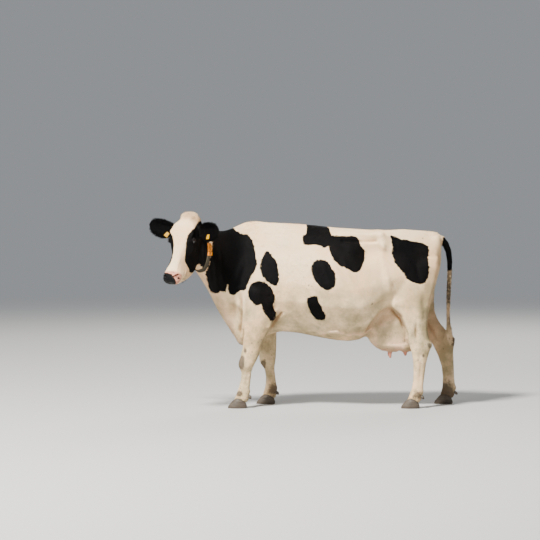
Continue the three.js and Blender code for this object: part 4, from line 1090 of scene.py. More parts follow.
eyeParts = {
    "rings": 60, "around": 72, "iris": 0.60, "pupilWide": 0.34, "pupilHigh": 0.15, "bulge": 0.0009, "inset": 0.0002,
}
eyeColours = {
    "iris": ((0.006, 0.003, 0.002), (0.014, 0.006, 0.003)), "rim": (0.004, 0.003, 0.003),
    "white": (0.022, 0.014, 0.011), "pupil": (0.0008, 0.0008, 0.0012),
}
eyeball = Finish("eyeball")
iris, pupil = eyeball.attribute("iris"), eyeball.attribute("pupil")
streaks = eyeball.noise(260.0, 3, 0.6)
irisColour = eyeball.mix(eyeball.step(streaks, 0.35, 0.7), *eyeColours["iris"])
rim = eyeball.step(iris, eyeParts["iris"] * 0.82, eyeParts["iris"])
irisColour = eyeball.mix(rim, irisColour, eyeColours["rim"])
white = eyeball.mix(eyeball.step(iris, 0.66, 0.80), eyeColours["rim"], eyeColours["white"])
irisColour = eyeball.mix(eyeball.step(iris, eyeParts["iris"] * 0.97, eyeParts["iris"] * 1.03), irisColour, white)
irisColour = eyeball.mix(eyeball.step(pupil, 0.92, 1.05), eyeColours["pupil"], irisColour)
eyeball.set(Base_Color=irisColour, Roughness=0.06, Specular_IOR_Level=0.5, Coat_Weight=1.0)
for side, name in ((1, "eye_left"), (-1, "eye_right")):
    gaze, along, above = eyeAxes(side)
    turn = np.linspace(0, 2 * np.pi, eyeParts["around"], endpoint=False)
    fromGaze = np.linspace(0.02, np.pi - 0.02, eyeParts["rings"])[:, None]
    a, h = np.sin(fromGaze) * np.cos(turn), np.sin(fromGaze) * np.sin(turn)
    facing = np.repeat(np.cos(fromGaze), len(turn), 1)
    radius = eyeSpot["radius"] + eyeParts["bulge"] * blendStep(facing, 0.80, 0.97) - eyeParts["inset"]
    ball = radius[..., None] * (a[..., None] * along + h[..., None] * above + facing[..., None] * gaze)
    places = eyeCentres[side] + ball
    piece = ringSolid(f"eyeball_{name[4:]}", fromHead(places.reshape(-1, 3)).reshape(places.shape))
    behind = np.where(facing < 0, 2.0, np.hypot(a, h))
    oval = np.where(facing < 0, 9.0, np.hypot(a / eyeParts["pupilWide"], h / eyeParts["pupilHigh"]))
    setAttribute(piece.data, "iris", np.append(behind.ravel(), [0.0, 2.0]))
    setAttribute(piece.data, "pupil", np.append(oval.ravel(), [0.0, 9.0]))
    dress(piece, eyeball, "eye", name)
print("eyes")


# ---- claws and dewclaws

# The claw's front, back and half width at some levels, front and back as shares of its length.
claw = {
    "level": (0, 0.016, 0.036, 0.056, 0.074),
    "front": (0, 0.03, 0.14, 0.26, 0.40),
    "back": (0.99, 1.01, 0.97, 0.88, 0.76),
    "half": (0.025, 0.027, 0.026, 0.024, 0.016),
    "longest": 1.01, "levels": 66, "around": 72, "rounds": 60, "toeIn": 0.007,
    "soleEdge": 0.003, "soleLevels": (0, 0.0004, 0.0012), "soleShrink": (0.955, 0.980, 0.993),
    "growth": 0.0003, "growthRings": 6,
}
hornColours = {
    "bands": ((0.060, 0.048, 0.037), (0.098, 0.076, 0.056)), "streaks": (0.038, 0.030, 0.025),
    "mud": (0.070, 0.052, 0.036),
}
horn = Finish("claw horn")
bands = horn.noise(60.0, 3, 0.6, stretch=(0.35, 0.35, 2.4))
streaks = horn.noise(240.0, 3, 0.6, stretch=(1.0, 1.0, 0.10))
hornColour = horn.mix(horn.step(bands, 0.30, 0.70), *hornColours["bands"])
hornColour = horn.mix(horn.times(horn.step(streaks, 0.45, 0.85), 0.3), hornColour, hornColours["streaks"])
split = horn.add("ShaderNodeSeparateXYZ")
horn.put(horn.place, split.inputs[0])
muddy = horn.step(horn.sums("MULTIPLY_ADD", horn.noise(30.0, 4, 0.7), -0.045, split.outputs["Z"]), 0.010, -0.020)
hornColour = horn.mix(horn.times(muddy, 0.8), hornColour, hornColours["mud"])
normal = horn.bump(streaks, 0.30, 0.0006)
normal = horn.bump(bands, 0.25, 0.0015, normal)
horn.set(Base_Color=hornColour, Roughness=horn.step(streaks, -0.9, 1.6), Normal=normal, Specular_IOR_Level=0.35)


def clawPiece(name, footMiddle):
    low, high = (np.array(c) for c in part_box(name))
    inward = 1 if footMiddle > (low[1] + high[1]) / 2 else -1
    y = (low[1] if inward > 0 else high[1]) + inward * max(claw["half"])
    length = (high[0] - low[0]) / claw["longest"]
    top = high[2]
    levels = np.concatenate([claw["soleLevels"], np.linspace(claw["soleEdge"], top, claw["levels"])])
    fine = np.linspace(0, top, 200)
    rows = {}
    for key in ("front", "back", "half"):
        values = np.interp(fine, claw["level"], claw[key])
        for _ in range(claw["rounds"]):
            values[1:-1] = (values[:-2] + values[1:-1] * 2 + values[2:]) / 4
        rows[key] = np.interp(levels, fine, values)[:, None]
    turn = np.linspace(0, 2 * np.pi, claw["around"], endpoint=False)[None, :]
    along, across = np.cos(turn), np.sin(turn)
    taper = np.where(along < 0, 1 - 0.40 * along**2, 1)
    flat = 1 - 0.25 * blendStep(across * inward, 0.0, 0.7)
    shrink = np.ones(len(levels))
    shrink[:3] = claw["soleShrink"]
    share = (levels / top)[:, None] - 0.06 * along
    waves = claw["growth"] * np.sin(2 * np.pi * claw["growthRings"] * share + 1.3 * np.sin(9 * share + low[0] * 40))
    waves = waves * blendStep(share, 0.06, 0.16) * blendStep(1 - share, 0.1, 0.3)
    middle = (rows["front"] + rows["back"]) / 2
    reach = (rows["back"] - rows["front"]) / 2 * length * shrink[:, None]
    x = low[0] + length * middle + along * (reach + waves)
    hook = inward * claw["toeIn"] * np.clip(-along, 0, 1) ** 3 * (1 - (levels / top)[:, None])
    wide = y + hook + across * (rows["half"] * taper * flat * shrink[:, None] + waves)
    rings = np.stack([x, wide, np.repeat(levels[:, None], turn.size, 1)], 2)
    piece = ringSolid(f"horn_{name}", rings)
    dress(piece, horn, "horn", name)


dewclaw = {
    "along": (-0.016, -0.008, 0.000, 0.007, 0.013, 0.018, 0.0205),
    "size": (0.006, 0.0105, 0.0132, 0.0138, 0.0112, 0.0066, 0.0022),
    "rings": 26, "around": 28, "flat": 0.82, "growth": 0.00025,
}


def dewclawPiece(name, footMiddle):
    low, high = (np.array(c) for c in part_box(name))
    middle = (low + high) / 2
    away = 1 if middle[1] > footMiddle else -1
    out = np.array([0.70, away * 0.15, -0.72])
    out /= np.linalg.norm(out)
    wide = np.cross(out, [0, 0, 1.0])
    wide /= np.linalg.norm(wide)
    other = np.cross(out, wide)
    steps = np.linspace(dewclaw["along"][0], dewclaw["along"][-1], dewclaw["rings"])
    size = np.interp(steps, dewclaw["along"], dewclaw["size"])
    size[1:-1] = (size[:-2] + size[2:]) / 2 + dewclaw["growth"] * np.sin(np.arange(len(size) - 2) * 1.9)
    turn = np.linspace(0, 2 * np.pi, dewclaw["around"], endpoint=False)
    circle = np.cos(turn)[:, None] * wide + dewclaw["flat"] * np.sin(turn)[:, None] * other
    rings = [middle + out * (t - 0.003) + r * circle for t, r in zip(steps, size)]
    piece = ringSolid(f"horn_{name}", rings)
    dress(piece, horn, "horn", name)


for leg in legs:
    ends = [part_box(f"claw_{leg}_{side}") for side in ("outer", "inner")]
    footMiddle = np.mean([corner[1] for box in ends for corner in box])
    for side in ("outer", "inner"):
        clawPiece(f"claw_{leg}_{side}", footMiddle)
        dewclawPiece(f"dewclaw_{leg}_{side}", footMiddle)
print("claws")


# ---- collar

collar = {
    "width": 0.026, "toward": 0.006, "thick": 0.0040, "gap": 0.0012, "around": 240, "across": 37, "ridges": 9,
    "length": 1.1, "weave": 0.0092, "ribbing": 0.00022,
}
webColours = {
    "base": ((0.040, 0.034, 0.022), (0.024, 0.020, 0.013)), "weave": (0.075, 0.062, 0.040),
    "stitch": (0.16, 0.135, 0.09),
}
webbing = Finish("woven webbing")
weave = webbing.attribute("weave")
stitches = webbing.attribute("stitch")
webColour = webbing.mix(webbing.step(webbing.noise(14.0, 4), 0.35, 0.7), *webColours["base"])
webColour = webbing.mix(webbing.times(webbing.step(weave, 0.2, 0.9), 0.35), webColour, webColours["weave"])
webColour = webbing.mix(webbing.step(stitches, 0.4, 0.6), webColour, webColours["stitch"])
normal = webbing.bump(weave, 0.6, 0.0008)
webbing.set(Base_Color=webColour, Roughness=0.85, Normal=normal, Specular_IOR_Level=0.2)

skinTree = BVHTree.FromObject(skin, bpy.context.evaluated_depsgraph_get())
strapPoints = readPoints(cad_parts["collar"].data)
strapMiddle, _, strapAxes = nodeAxes(strapPoints)
acrossStrap = strapAxes[2]
upStrap = np.array([0, 0, 1.0]) - acrossStrap * acrossStrap[2]
upStrap /= np.linalg.norm(upStrap)
sideStrap = np.cross(acrossStrap, upStrap)


def strapRing(off):  # distance from the strap's middle to the skin all the way round, at a place across the strap
    turn = np.linspace(0, 2 * np.pi, collar["around"], endpoint=False)
    origin = strapMiddle + acrossStrap * off
    out = []
    for t in turn:
        way = upStrap * math.cos(t) + sideStrap * math.sin(t)
        hit = skinTree.ray_cast(Vector(origin), Vector(way), 0.5)
        out.append(hit[3] if hit[3] else np.nan)
    out = np.array(out)
    out = np.interp(np.arange(len(out)), np.nonzero(np.isfinite(out))[0], out[np.isfinite(out)])
    smooth = out.copy()
    for _ in range(30):
        smooth = np.maximum((np.roll(smooth, 1) + smooth + np.roll(smooth, -1)) / 3, out)
    for _ in range(8):
        smooth = (np.roll(smooth, 1) + smooth + np.roll(smooth, -1)) / 3
    return turn, origin, np.maximum(smooth, out)


headward = 1 if acrossStrap @ (poll - strapMiddle) > 0 else -1
offsets = np.linspace(-0.5, 0.5, 7) * collar["width"] + headward * collar["toward"]
reaches = [strapRing(off) for off in offsets]
turn = reaches[0][0]
ways = np.cos(turn)[:, None] * upStrap + np.sin(turn)[:, None] * sideStrap
under = np.array([origin + ways * (reach + collar["gap"])[:, None] for _, origin, reach in reaches])
section = []
for place in np.linspace(0, 1, collar["across"]) * (len(under) - 1):
    first = min(int(place), len(under) - 2)
    section.append(under[first] * (1 - (place - first)) + under[first + 1] * (place - first))
section = np.array(section)
rounded = np.sqrt(np.clip(1 - (np.abs(np.linspace(-1, 1, collar["across"])) ** 14), 0.02, 1))
ribbing = collar["ribbing"] * np.cos(np.linspace(0, 2 * np.pi * collar["ridges"], collar["across"]))
outer = section + ways[None] * (collar["thick"] * rounded + ribbing)[:, None, None]
loop = np.concatenate([outer, section[::-1][1:-1]])  # once across the top and back underneath
around, count = loop.shape[0], loop.shape[1]
points = loop.transpose(1, 0, 2).reshape(-1, 3)
i, j = (each.ravel() for each in np.meshgrid(np.arange(count), np.arange(around), indexing="ij"))
a, b = i * around + j, i * around + (j + 1) % around
c, d = (i + 1) % count * around + (j + 1) % around, (i + 1) % count * around + j
faces = np.concatenate([np.stack([a, b, c], 1), np.stack([a, c, d], 1)])
p, q, r = (points[faces[:, k]] for k in range(3))
if (np.cross(p - strapMiddle, q - strapMiddle) * (r - strapMiddle)).sum() < 0:
    faces = faces[:, ::-1]
strap = meshPiece("strap", points, np.ascontiguousarray(faces))
strap.data.shade_smooth()
length = np.arange(count) / count * collar["length"]
onTop = np.arange(around) < collar["across"]
acrossShare = np.where(onTop, np.arange(around) / (collar["across"] - 1), 0.5)
alongWeave = np.cos(length[:, None] / collar["weave"] * 2 * np.pi)
weave = 0.5 + 0.5 * alongWeave * np.cos(acrossShare[None] * np.pi * collar["ridges"] * 2)
nearEdge = np.abs(np.abs(acrossShare - 0.5) - 0.40) < 0.018
stitch = nearEdge[None] * onTop[None] * (np.arange(count)[:, None] % 2)
setAttribute(strap.data, "weave", weave.ravel())
setAttribute(strap.data, "stitch", stitch.astype(float).ravel())
dress(strap, webbing, "webbing", "collar")
print("collar")


# ---- plates on the collar and tags in the ears

plate = {
    "bevel": 0.0035, "deep": 0.0035, "digit": 0.02835, "raised": 0.0014, "inset": 0.0008,
    "bar": (0.005, 0.82, 0.0024), "barFromEnd": 0.0055, "barBevel": 0.0011,
}


def plasticFinish(name, grain, worn, colours, rough, gloss):
    plastic = Finish(name)
    patches = plastic.step(plastic.noise(grain, 4, 0.6), *worn)
    speckle = plastic.bump(plastic.noise(300.0), 0.15, 0.0004)
    plastic.set(
        Base_Color=plastic.mix(patches, *colours), Roughness=rough, Normal=speckle, Specular_IOR_Level=gloss,
    )
    return plastic


orange = plasticFinish("orange plastic", 45.0, (0.40, 0.75), ((0.88, 0.285, 0.003), (0.74, 0.215, 0.003)), 0.42, 0.45)
yellow = plasticFinish("yellow plastic", 60.0, (0.45, 0.80), ((0.46, 0.235, 0.003), (0.33, 0.17, 0.004)), 0.55, 0.25)
ink = Finish("dark print")
ink.set(Base_Color=ink.mix(ink.noise(90.0), (0.012, 0.011, 0.011), (0.022, 0.020, 0.019)), Roughness=0.5)


def roundedBox(name, size, bevel, segments=4):
    choose()
    bpy.ops.mesh.primitive_cube_add(size=1, location=(0, 0, 0))
    piece = bpy.context.object
    piece.name = name
    writePoints(piece.data, readPoints(piece.data) * np.array(size))
    soft = piece.modifiers.new("soft", "BEVEL")
    soft.width, soft.segments, soft.limit_method = bevel, segments, "NONE"
    applyModifiers(piece)
    piece.data.shade_smooth()
    return piece


def shapeText(text, size, thick):
    choose()
    bpy.ops.object.text_add(location=(0, 0, 0))
    words = bpy.context.object
    words.data.body = text
    words.data.size, words.data.extrude = size, thick / 2
    words.data.align_x, words.data.align_y = "CENTER", "CENTER"
    words.data.resolution_u = 4
    bpy.ops.object.convert(target="MESH")
    return bpy.context.object


def layOut(piece, middle, right, up, out):  # from its own flat place into the cow's frame
    points = readPoints(piece.data)
    writePoints(piece.data, points[:, :1] * right + points[:, 1:2] * up + points[:, 2:] * out + middle)


for index in range(3):
    node = f"number_plate_{index + 1}"
    middle, half, axes = nodeAxes(readPoints(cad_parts[node].data))
    right, up, out = axes
    out = out * (1 if out @ (middle - strapMiddle) > 0 else -1)
    up = up * (1 if up[2] > 0 else -1)
    right = np.cross(up, out)
    wide, high, thick = 2 * half
    body = roundedBox("body", (wide, high - plate["inset"], thick + plate["deep"]), plate["bevel"])
    layOut(body, np.array([0, 0, -plate["deep"] / 2]), *np.eye(3))
    bars = []
    for end in (-1, 1):
        size = np.array(plate["bar"]) * np.array([1, high, 1])
        bar = roundedBox("bar", size, plate["barBevel"], 3)
        layOut(bar, np.array([end * (wide / 2 - plate["barFromEnd"]), 0, thick / 2]), *np.eye(3))
        bars.append(bar)
    for each in [body, *bars]:
        each.data.materials.append(orange.material)
    digit = shapeText(str(index + 1), plate["digit"], plate["raised"])
    layOut(digit, np.array([0, 0, thick / 2]), *np.eye(3))
    digit.data.materials.append(ink.material)
    whole = joinAs(f"plate_{index + 1}", [body, *bars, digit])
    layOut(whole, middle, right, up, out)
    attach(whole, "root")
    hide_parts(node)
print("number plates")

tag = {"wide": 0.034, "high": 0.038, "thick": 0.0026, "bevel": 0.0011, "stud": 0.0045, "boss": 0.0072, "back": 0.0085}


def disc(label, profile):  # a turned form: (height, radius) from bottom to top or from top to bottom
    turn = np.linspace(0, 2 * np.pi, 40, endpoint=False)
    circle = np.stack([np.cos(turn), np.sin(turn)], 1)
    return ringSolid(label, [np.column_stack([circle * r, np.full(len(turn), z)]) for z, r in profile])


def tagPiece(side, name):
    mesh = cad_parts[name].data
    points = readPoints(mesh)
    sizes = {}
    for face in mesh.polygons:
        key = tuple(np.round(np.abs(face.normal), 2))
        total, normal = sizes.get(key, (0.0, face.normal))
        sizes[key] = (total + face.area, normal)
    out = np.array(max(sizes.values(), key=lambda each: each[0])[1])
    depth = points @ out
    spread = [np.ptp(points[np.abs(depth - level) < 0.003] @ headLeft) for level in (depth.max(), depth.min())]
    if spread[0] < spread[1]:
        out, depth = -out, -depth
    front, rear = depth.max(), depth.min()
    flat = points[depth > front - tag["thick"] * 1.3]
    middle = flat.mean(0)
    axes = np.linalg.svd(flat - middle)[2][:2]
    centre = (flat @ axes.T).min(0) / 2 + (flat @ axes.T).max(0) / 2
    up, right = axes
    middle = centre @ axes + out * (front - tag["thick"] / 2)
    up = up * (1 if up[2] > 0 else -1)
    right = np.cross(up, out)
    body = roundedBox("body", (tag["wide"], tag["high"], tag["thick"]), tag["bevel"], 3)
    shape = readPoints(body.data)
    narrow = 1 - 0.22 * blendStep(shape[:, 1] / tag["high"], 0.05, 0.5)
    shape[:, 0] *= narrow
    writePoints(body.data, shape)
    top, low = tag["thick"] / 2, rear - front
    boss = disc("boss", [
        (top - 0.001, tag["boss"]), (top + 0.0004, tag["boss"]), (top + 0.0010, tag["boss"] - 0.0008),
        (top + 0.0011, 0.0035), (top + 0.0006, 0.0028),
    ])
    stud = disc("stud", [(low, tag["stud"] * 0.8), (low + 0.001, tag["stud"]), (0.0, tag["stud"])])
    button = disc("button", [
        (low, tag["back"] - 0.001), (low + 0.0008, tag["back"]), (low + 0.0024, tag["back"]), (low + 0.003, 0.005),
    ])
    whole = joinAs(f"tag_{side}", [body, boss, stud, button])
    whole.data.materials.clear()
    whole.data.materials.append(yellow.material)
    layOut(whole, middle, right, up, out)
    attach(whole, "root")
    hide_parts(name)
    return middle, out


tagSpots = [tagPiece(side, f"ear_tag_{side}") for side in ("left", "right")]
print("ear tags")


# ---- the coat: short locks of hair lying over the skin

# For each part: length, width, lift in degrees, locks on each square centimetre.
coatPlan = {
    "trunk": (0.0130, 0.0024, 7, 1.04), "neck": (0.0130, 0.0024, 8, 1.60), "head": (0.0070, 0.0013, 7, 4.9),
    "ear": (0.0110, 0.0017, 16, 6.0), "upper": (0.0120, 0.0023, 7, 1.40), "lower": (0.0080, 0.0017, 7, 2.9),
    "udder": (0.0065, 0.0020, 8, 0.8), "teat": (0.0050, 0.0020, 8, 0.0), "tail": (0.0120, 0.0022, 12, 5.0),
    "tail_tip": (0.0400, 0.0030, 14, 7.0), "eye": (0.0060, 0.0016, 8, 0.0),
}
coatPieces = {
    "trunk_left": ("trunk",), "trunk_right": ("trunk",), "neck": ("neck",), "head": ("head",), "ears": ("ear",),
    "upper_legs": ("upper",), "lower_legs": ("lower",), "udder_and_tail": ("udder", "tail", "tail_tip"),
}
# A lock is seven points: a root of three, a middle of three and a tip.
lockShape = {"sink": 0.0007, "thick": 0.34, "middle": 0.52, "taper": 0.84}
lockFaces = np.array([
    (0, 4, 3), (0, 1, 4), (1, 2, 5), (1, 5, 4), (0, 3, 5), (0, 5, 2), (3, 4, 6), (4, 5, 6), (5, 3, 6), (0, 2, 1),
])
lockPatch = 0.003 * np.array([(0, 0), (1, 0), (0.5, 0.1), (0.1, 0.5), (0.9, 0.5), (0.5, 0.55), (0.5, 1)])


def unit(rows):
    return rows / np.maximum(np.linalg.norm(rows, axis=1), 1e-9)[:, None]


def makeLocks(name, root, normal, way, length, width, lift, curl, values, patchAt):
    way = unit(way - normal * (way * normal).sum(1)[:, None])
    side = np.cross(normal, way)
    far, wide, rise, run = length[:, None], width[:, None] / 2, np.sin(lift)[:, None], np.cos(lift)[:, None]
    half, aside = lockShape["middle"], side * far * curl[:, None]
    middle = root + way * far * half * run + normal * far * half * rise * 1.3 + aside * 0.25
    tip = root + way * far * run + normal * far * rise * 0.85 + aside
    low = root - normal * lockShape["sink"]
    high = normal * wide * 2 * lockShape["thick"]
    narrow = lockShape["taper"]
    points = np.stack([
        low - side * wide, low + side * wide, root + high, middle - side * wide * narrow,
        middle + side * wide * narrow, middle + high * 0.9, tip,
    ], 1)
    count = len(root)
    faces = (np.arange(count)[:, None, None] * 7 + lockFaces[None]).reshape(-1, 3)
    piece = meshPiece(name, points.reshape(-1, 3), faces)
    piece.data.shade_smooth()
    for key, value in values.items():
        setAttribute(piece.data, key, np.repeat(value, 7))
    places = (patchAt[:, None] + lockPatch[None]).reshape(-1, 2)
    layer = piece.data.uv_layers.new(name="OFBake")
    layer.data.foreach_set("uv", places[faces.ravel()].astype(np.float32).ravel())
    return piece


def unwrapPlaces(root, owner):  # each part's own cell: round the part, and along it
    parts = np.unique(owner)
    grid = math.ceil(math.sqrt(len(parts)))
    out = np.zeros((len(root), 2))
    for cell, index in enumerate(parts):
        here = np.nonzero(owner == index)[0]
        middle, _, axes = nodeAxes(readPoints(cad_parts[shellNames[index]].data))
        off = root[here] - middle
        across = off - np.outer(off @ axes[0], axes[0])
        toward = across.mean(0)
        toward = toward / np.linalg.norm(toward) if np.linalg.norm(toward) > 0.01 else axes[1]
        other = np.cross(axes[0], toward)
        flat = np.stack([off @ axes[0], np.arctan2(across @ other, across @ toward)], 1)
        flat = (flat - flat.min(0)) / np.maximum(np.ptp(flat, axis=0), 1e-6)
        out[here] = (np.array([cell % grid, cell // grid]) + 0.02 + 0.94 * flat) / grid
    return out


points = readPoints(skin.data)
normals = readNormals(skin.data)
coatLength, coatWidth, coatLift, coatDensity = (
    np.array([coatPlan[key][k] for key in shellKeys], float)[part] for k in range(4)
)
for _ in range(4):
    coatLength, coatWidth, coatLift = meanOver(coatLength), meanOver(coatWidth), meanOver(coatLift)
places = headPlace(points)
angle = aroundHead(places)
level = points[:, 2]

# Which way the hair lies.
hairWays = {
    "trunk": (0.85, 0.0, -0.50), "neck": (0.62, 0.50, -0.60), "upper": (0.30, 0.0, -1.0), "lower": (0.10, 0.0, -1.0),
    "udder": (0.55, 0.0, -0.80), "tail": (0.05, 0.0, -1.0), "tail_tip": (0.05, 0.0, -1.0), "teat": (0.05, 0.0, -1.0),
}
lie = np.array([hairWays.get(key, hairWays["trunk"]) for key in shellKeys])[part]
lie[(partKeys == "trunk") & (points[:, 0] < -0.52)] = (0.35, 0.10, -0.90)
whorl = 0.105  # how far down the face the hair parts
downward = blendStep(places[:, 0], whorl - 0.03, whorl + 0.03) * 2 - 1
sidewards = np.clip(places[:, 1] / 0.08, -1, 1)
bridge = np.stack([downward, 0.45 * sidewards, np.zeros(len(points))], 1)
cheek = np.stack([np.full(len(points), 0.35), 0 * angle, np.full(len(points), -1.0)], 1)
share = blendStep(np.abs(angle), 38, 70)[:, None]
onFace = np.isin(partKeys, ("head", "eye"))
lie[onFace] = ((bridge * (1 - share) + cheek * share) @ headAxes.T)[onFace]
earCoat = {"length": 0.009, "longer": 0.010, "lift": 12, "lifted": 14, "edge": (0.026, 0.046)}
for index, name in enumerate(shellNames):
    if name.startswith("ear"):
        middle, _, axes = nodeAxes(readPoints(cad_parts[name].data))
        outward = axes[0] * (1 if axes[0] @ (middle - poll) > 0 else -1)
        here = part == index
        off = points[here] - middle
        off -= np.outer(off @ outward, outward)
        lie[here] = outward + unit(off) * blendStep(np.linalg.norm(off, axis=1), 0.02, 0.045)[:, None] * 0.7
        atEdge = blendStep(np.linalg.norm(off, axis=1), *earCoat["edge"])
        coatLength[here] = earCoat["length"] + earCoat["longer"] * atEdge
        coatLift[here] = earCoat["lift"] + earCoat["lifted"] * atEdge
lie = unit(lie)
for _ in range(3):
    lie = unit(np.stack([meanOver(lie[:, k]) for k in range(3)], 1))

# Longer, looser hair in some places: middle, reach, how much longer, extra lift in degrees.
looser = [
    ((-0.430, spineY, 1.475), (0.060, 0.030, 0.030), 1.1, 22), ((1.010, spineY, 1.400), (0.050, 0.030, 0.040), 1.0, 20),
    ((-0.600, spineY, 0.560), (0.120, 0.050, 0.160), 0.6, 10), ((-0.250, -0.090, 0.780), (0.040, 0.060, 0.050), 0.5, 8),
    ((-0.250, 0.320, 0.780), (0.040, 0.060, 0.050), 0.5, 8), ((0.300, spineY, 0.580), (0.400, 0.060, 0.040), 0.5, 8),
]
for middle, reach, longer, lifted in looser:
    share = swell(points, middle, reach, 1.0)
    coatLength *= 1 + longer * share
    coatLift += lifted * share
crown = onFace * blendStep(0.085 - places[:, 0], 0, 0.05) * blendStep(95 - np.abs(angle), 0, 40)
coatLength += 0.015 * crown
coatLift += 20 * crown
coatDensity += 2.5 * crown
fetlock = (partKeys == "lower") * np.exp(-(((level - 0.085) / 0.03) ** 2))
coatLength += 0.006 * fetlock
coatDensity += 2.0 * fetlock
tailLength = 0.015 + 0.010 * blendStep(1.15 - level, 0, 0.3) + 0.026 * blendStep(0.72 - level, 0, 0.12)
coatLength = np.where(onTail, tailLength, coatLength)
coatLift = np.where(onTail, 20 - 8 * blendStep(1.0 - level, 0, 0.3), coatLift)
shortNear = np.ones(len(points))  # the hair is shorter round the eyes and toward the muzzle
for centre in eyeCentres.values():
    shortNear = np.minimum(shortNear, 0.55 + 0.45 * blendStep(np.linalg.norm(places - centre, axis=1), 0.025, 0.06))
shortNear = np.where(onFace, np.minimum(shortNear, 1 - 0.45 * blendStep(places[:, 0], 0.36, 0.50)), shortNear)
coatLength *= shortNear
coatWidth *= 0.5 + 0.5 * shortNear

# No hair on the muzzle, the lids' rims, the teats, under the strap or where the horn begins.
coatDensity *= (nose < 0.35) & (lidsBare < 0.3) & ~onTeat & (level > 0.040)
offStrap = np.abs((points - strapMiddle) @ acrossStrap - headward * collar["toward"])
nearStrap = (offStrap < collar["width"] / 2 + 0.001) & (np.linalg.norm(points - strapMiddle, axis=1) < 0.30)
coatDensity *= ~(nearStrap & (partKeys != "ear"))
for middle, out in tagSpots:
    coatLength *= np.where(np.linalg.norm(points - middle, axis=1) < 0.024, 0.6, 1.0)

skin.data.calc_loop_triangles()
corner = readRows(skin.data.loop_triangles, "vertices", 3)
a, b, c = (points[corner[:, k]] for k in range(3))
areas = np.linalg.norm(np.cross(b - a, c - a), axis=1) / 2
expected = areas * coatDensity[corner].mean(1) * 1e4
edges = np.cumsum(expected)
wanted = int(edges[-1])
chosen = np.searchsorted(edges, (np.arange(wanted) + rng.random(wanted)) / wanted * edges[-1] * 0.999999)
u, v = rng.random(wanted), rng.random(wanted)
u, v = np.where(u + v > 1, 1 - u, u), np.where(u + v > 1, 1 - v, v)
weights = np.stack([1 - u - v, u, v], 1)


def atRoots(values):
    picked = values[corner[chosen]]
    return (picked * (weights[..., None] if picked.ndim == 3 else weights)).sum(1)


root, rootNormal, rootLie = atRoots(points), unit(atRoots(normals)), atRoots(lie)
rootPart = part[corner[chosen, 0]]
clawTree, _ = nodeTree([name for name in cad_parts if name.startswith(("claw", "dewclaw"))])
covered = np.zeros(wanted, bool)  # no hair where horn lies close over the skin
for index in np.nonzero(root[:, 2] < 0.12)[0]:
    covered[index] = clawTree.ray_cast(Vector(root[index]), Vector(rootNormal[index]), 0.008)[3] is not None
flow = 0.30 * np.sin(9 * root[:, 0] + 3 * np.sin(6 * root[:, 2])) * np.sin(7 * root[:, 2] + 2 * root[:, 1])
swing = flow + rng.normal(0, 0.17, wanted)
tangent = unit(rootLie - rootNormal * (rootLie * rootNormal).sum(1)[:, None])
way = tangent * np.cos(swing)[:, None] + np.cross(rootNormal, tangent) * np.sin(swing)[:, None]
length = atRoots(coatLength) * rng.uniform(0.75, 1.25, wanted)
width = atRoots(coatWidth) * rng.uniform(0.75, 1.2, wanted)
lift = np.radians(atRoots(coatLift) * rng.uniform(0.5, 1.4, wanted))
curl = rng.normal(0, 0.10, wanted) + rng.normal(0, 0.25, wanted) * atRoots(crown)
bareOnly = ("nose", "noseBlack", "lids", "hollow")
values = {key: atRoots(value) for key, value in markings.items() if key not in bareOnly}
values["black"] = np.where(values["black"] + rng.normal(0, 0.0022, wanted) > 0, 0.05, -0.05)
values["shade"] = rng.random(wanted)

furShade = {"deeper": (0.74, 0.70, 0.66), "share": 0.26}  # some locks are darker than others
fur = Finish("short coat")
furColour = coatColour(fur)
deeper = fur.add("ShaderNodeVectorMath", operation="MULTIPLY")
fur.put(furColour, deeper.inputs[0])
deeper.inputs[1].default_value = furShade["deeper"]
furColour = fur.mix(fur.times(fur.attribute("shade"), furShade["share"]), furColour, deeper.outputs[0])
fur.set(Base_Color=furColour, Roughness=0.66, Specular_IOR_Level=0.08)

for label, keys in coatPieces.items():
    inPiece = ~covered & np.isin(shellKeys[rootPart], keys)
    if label.startswith("trunk"):
        inPiece &= (root[:, 1] < spineY) == label.endswith("left")
    here = np.nonzero(inPiece)[0]
    piece = makeLocks(
        f"coat_{label}", root[here], rootNormal[here], way[here], length[here], width[here], lift[here], curl[here],
        {key: value[here] for key, value in values.items()}, unwrapPlaces(root[here], rootPart[here]),
    )
    dress(piece, fur, "white hide")
    print("coat:", label, len(here), "locks")

# Eyelashes, and a few stiff hairs round the lips.
lash = {"count": 46, "long": 0.015, "wide": 0.0008, "rows": 2}
lashRoots, lashWays, lashNormals, lashLong = [], [], [], []
for side, centre in eyeCentres.items():
    gaze, along, above = eyeAxes(side)
    for t in np.linspace(-0.88, 0.88, lash["count"]):
        for row in range(lash["rows"]):
            high = (eyeLook["upper"] + 0.05 + 0.05 * row) * (1 - t * t)
            flat = np.array([t * eyeLook["wide"], high])
            facing = math.sqrt(max(1 - flat @ flat, 0.05))
            out = along * flat[0] + above * flat[1] + gaze * facing
            lashRoots.append(centre + out * (eyeSpot["radius"] + eyeLook["lid"] * 0.9))
            lashWays.append(gaze * 1.0 + above * (0.25 + 0.1 * row) + along * (0.9 * t) + rng.normal(0, 0.10, 3))
            lashNormals.append(above + gaze * 0.2)
            lashLong.append(lash["long"] * (0.7 + 0.3 * (1 - t * t)) * rng.uniform(0.8, 1.15))
chin = {"count": 90, "long": 0.022, "wide": 0.0007}
muzzleTree = BVHTree.FromObject(skin, bpy.context.evaluated_depsgraph_get())
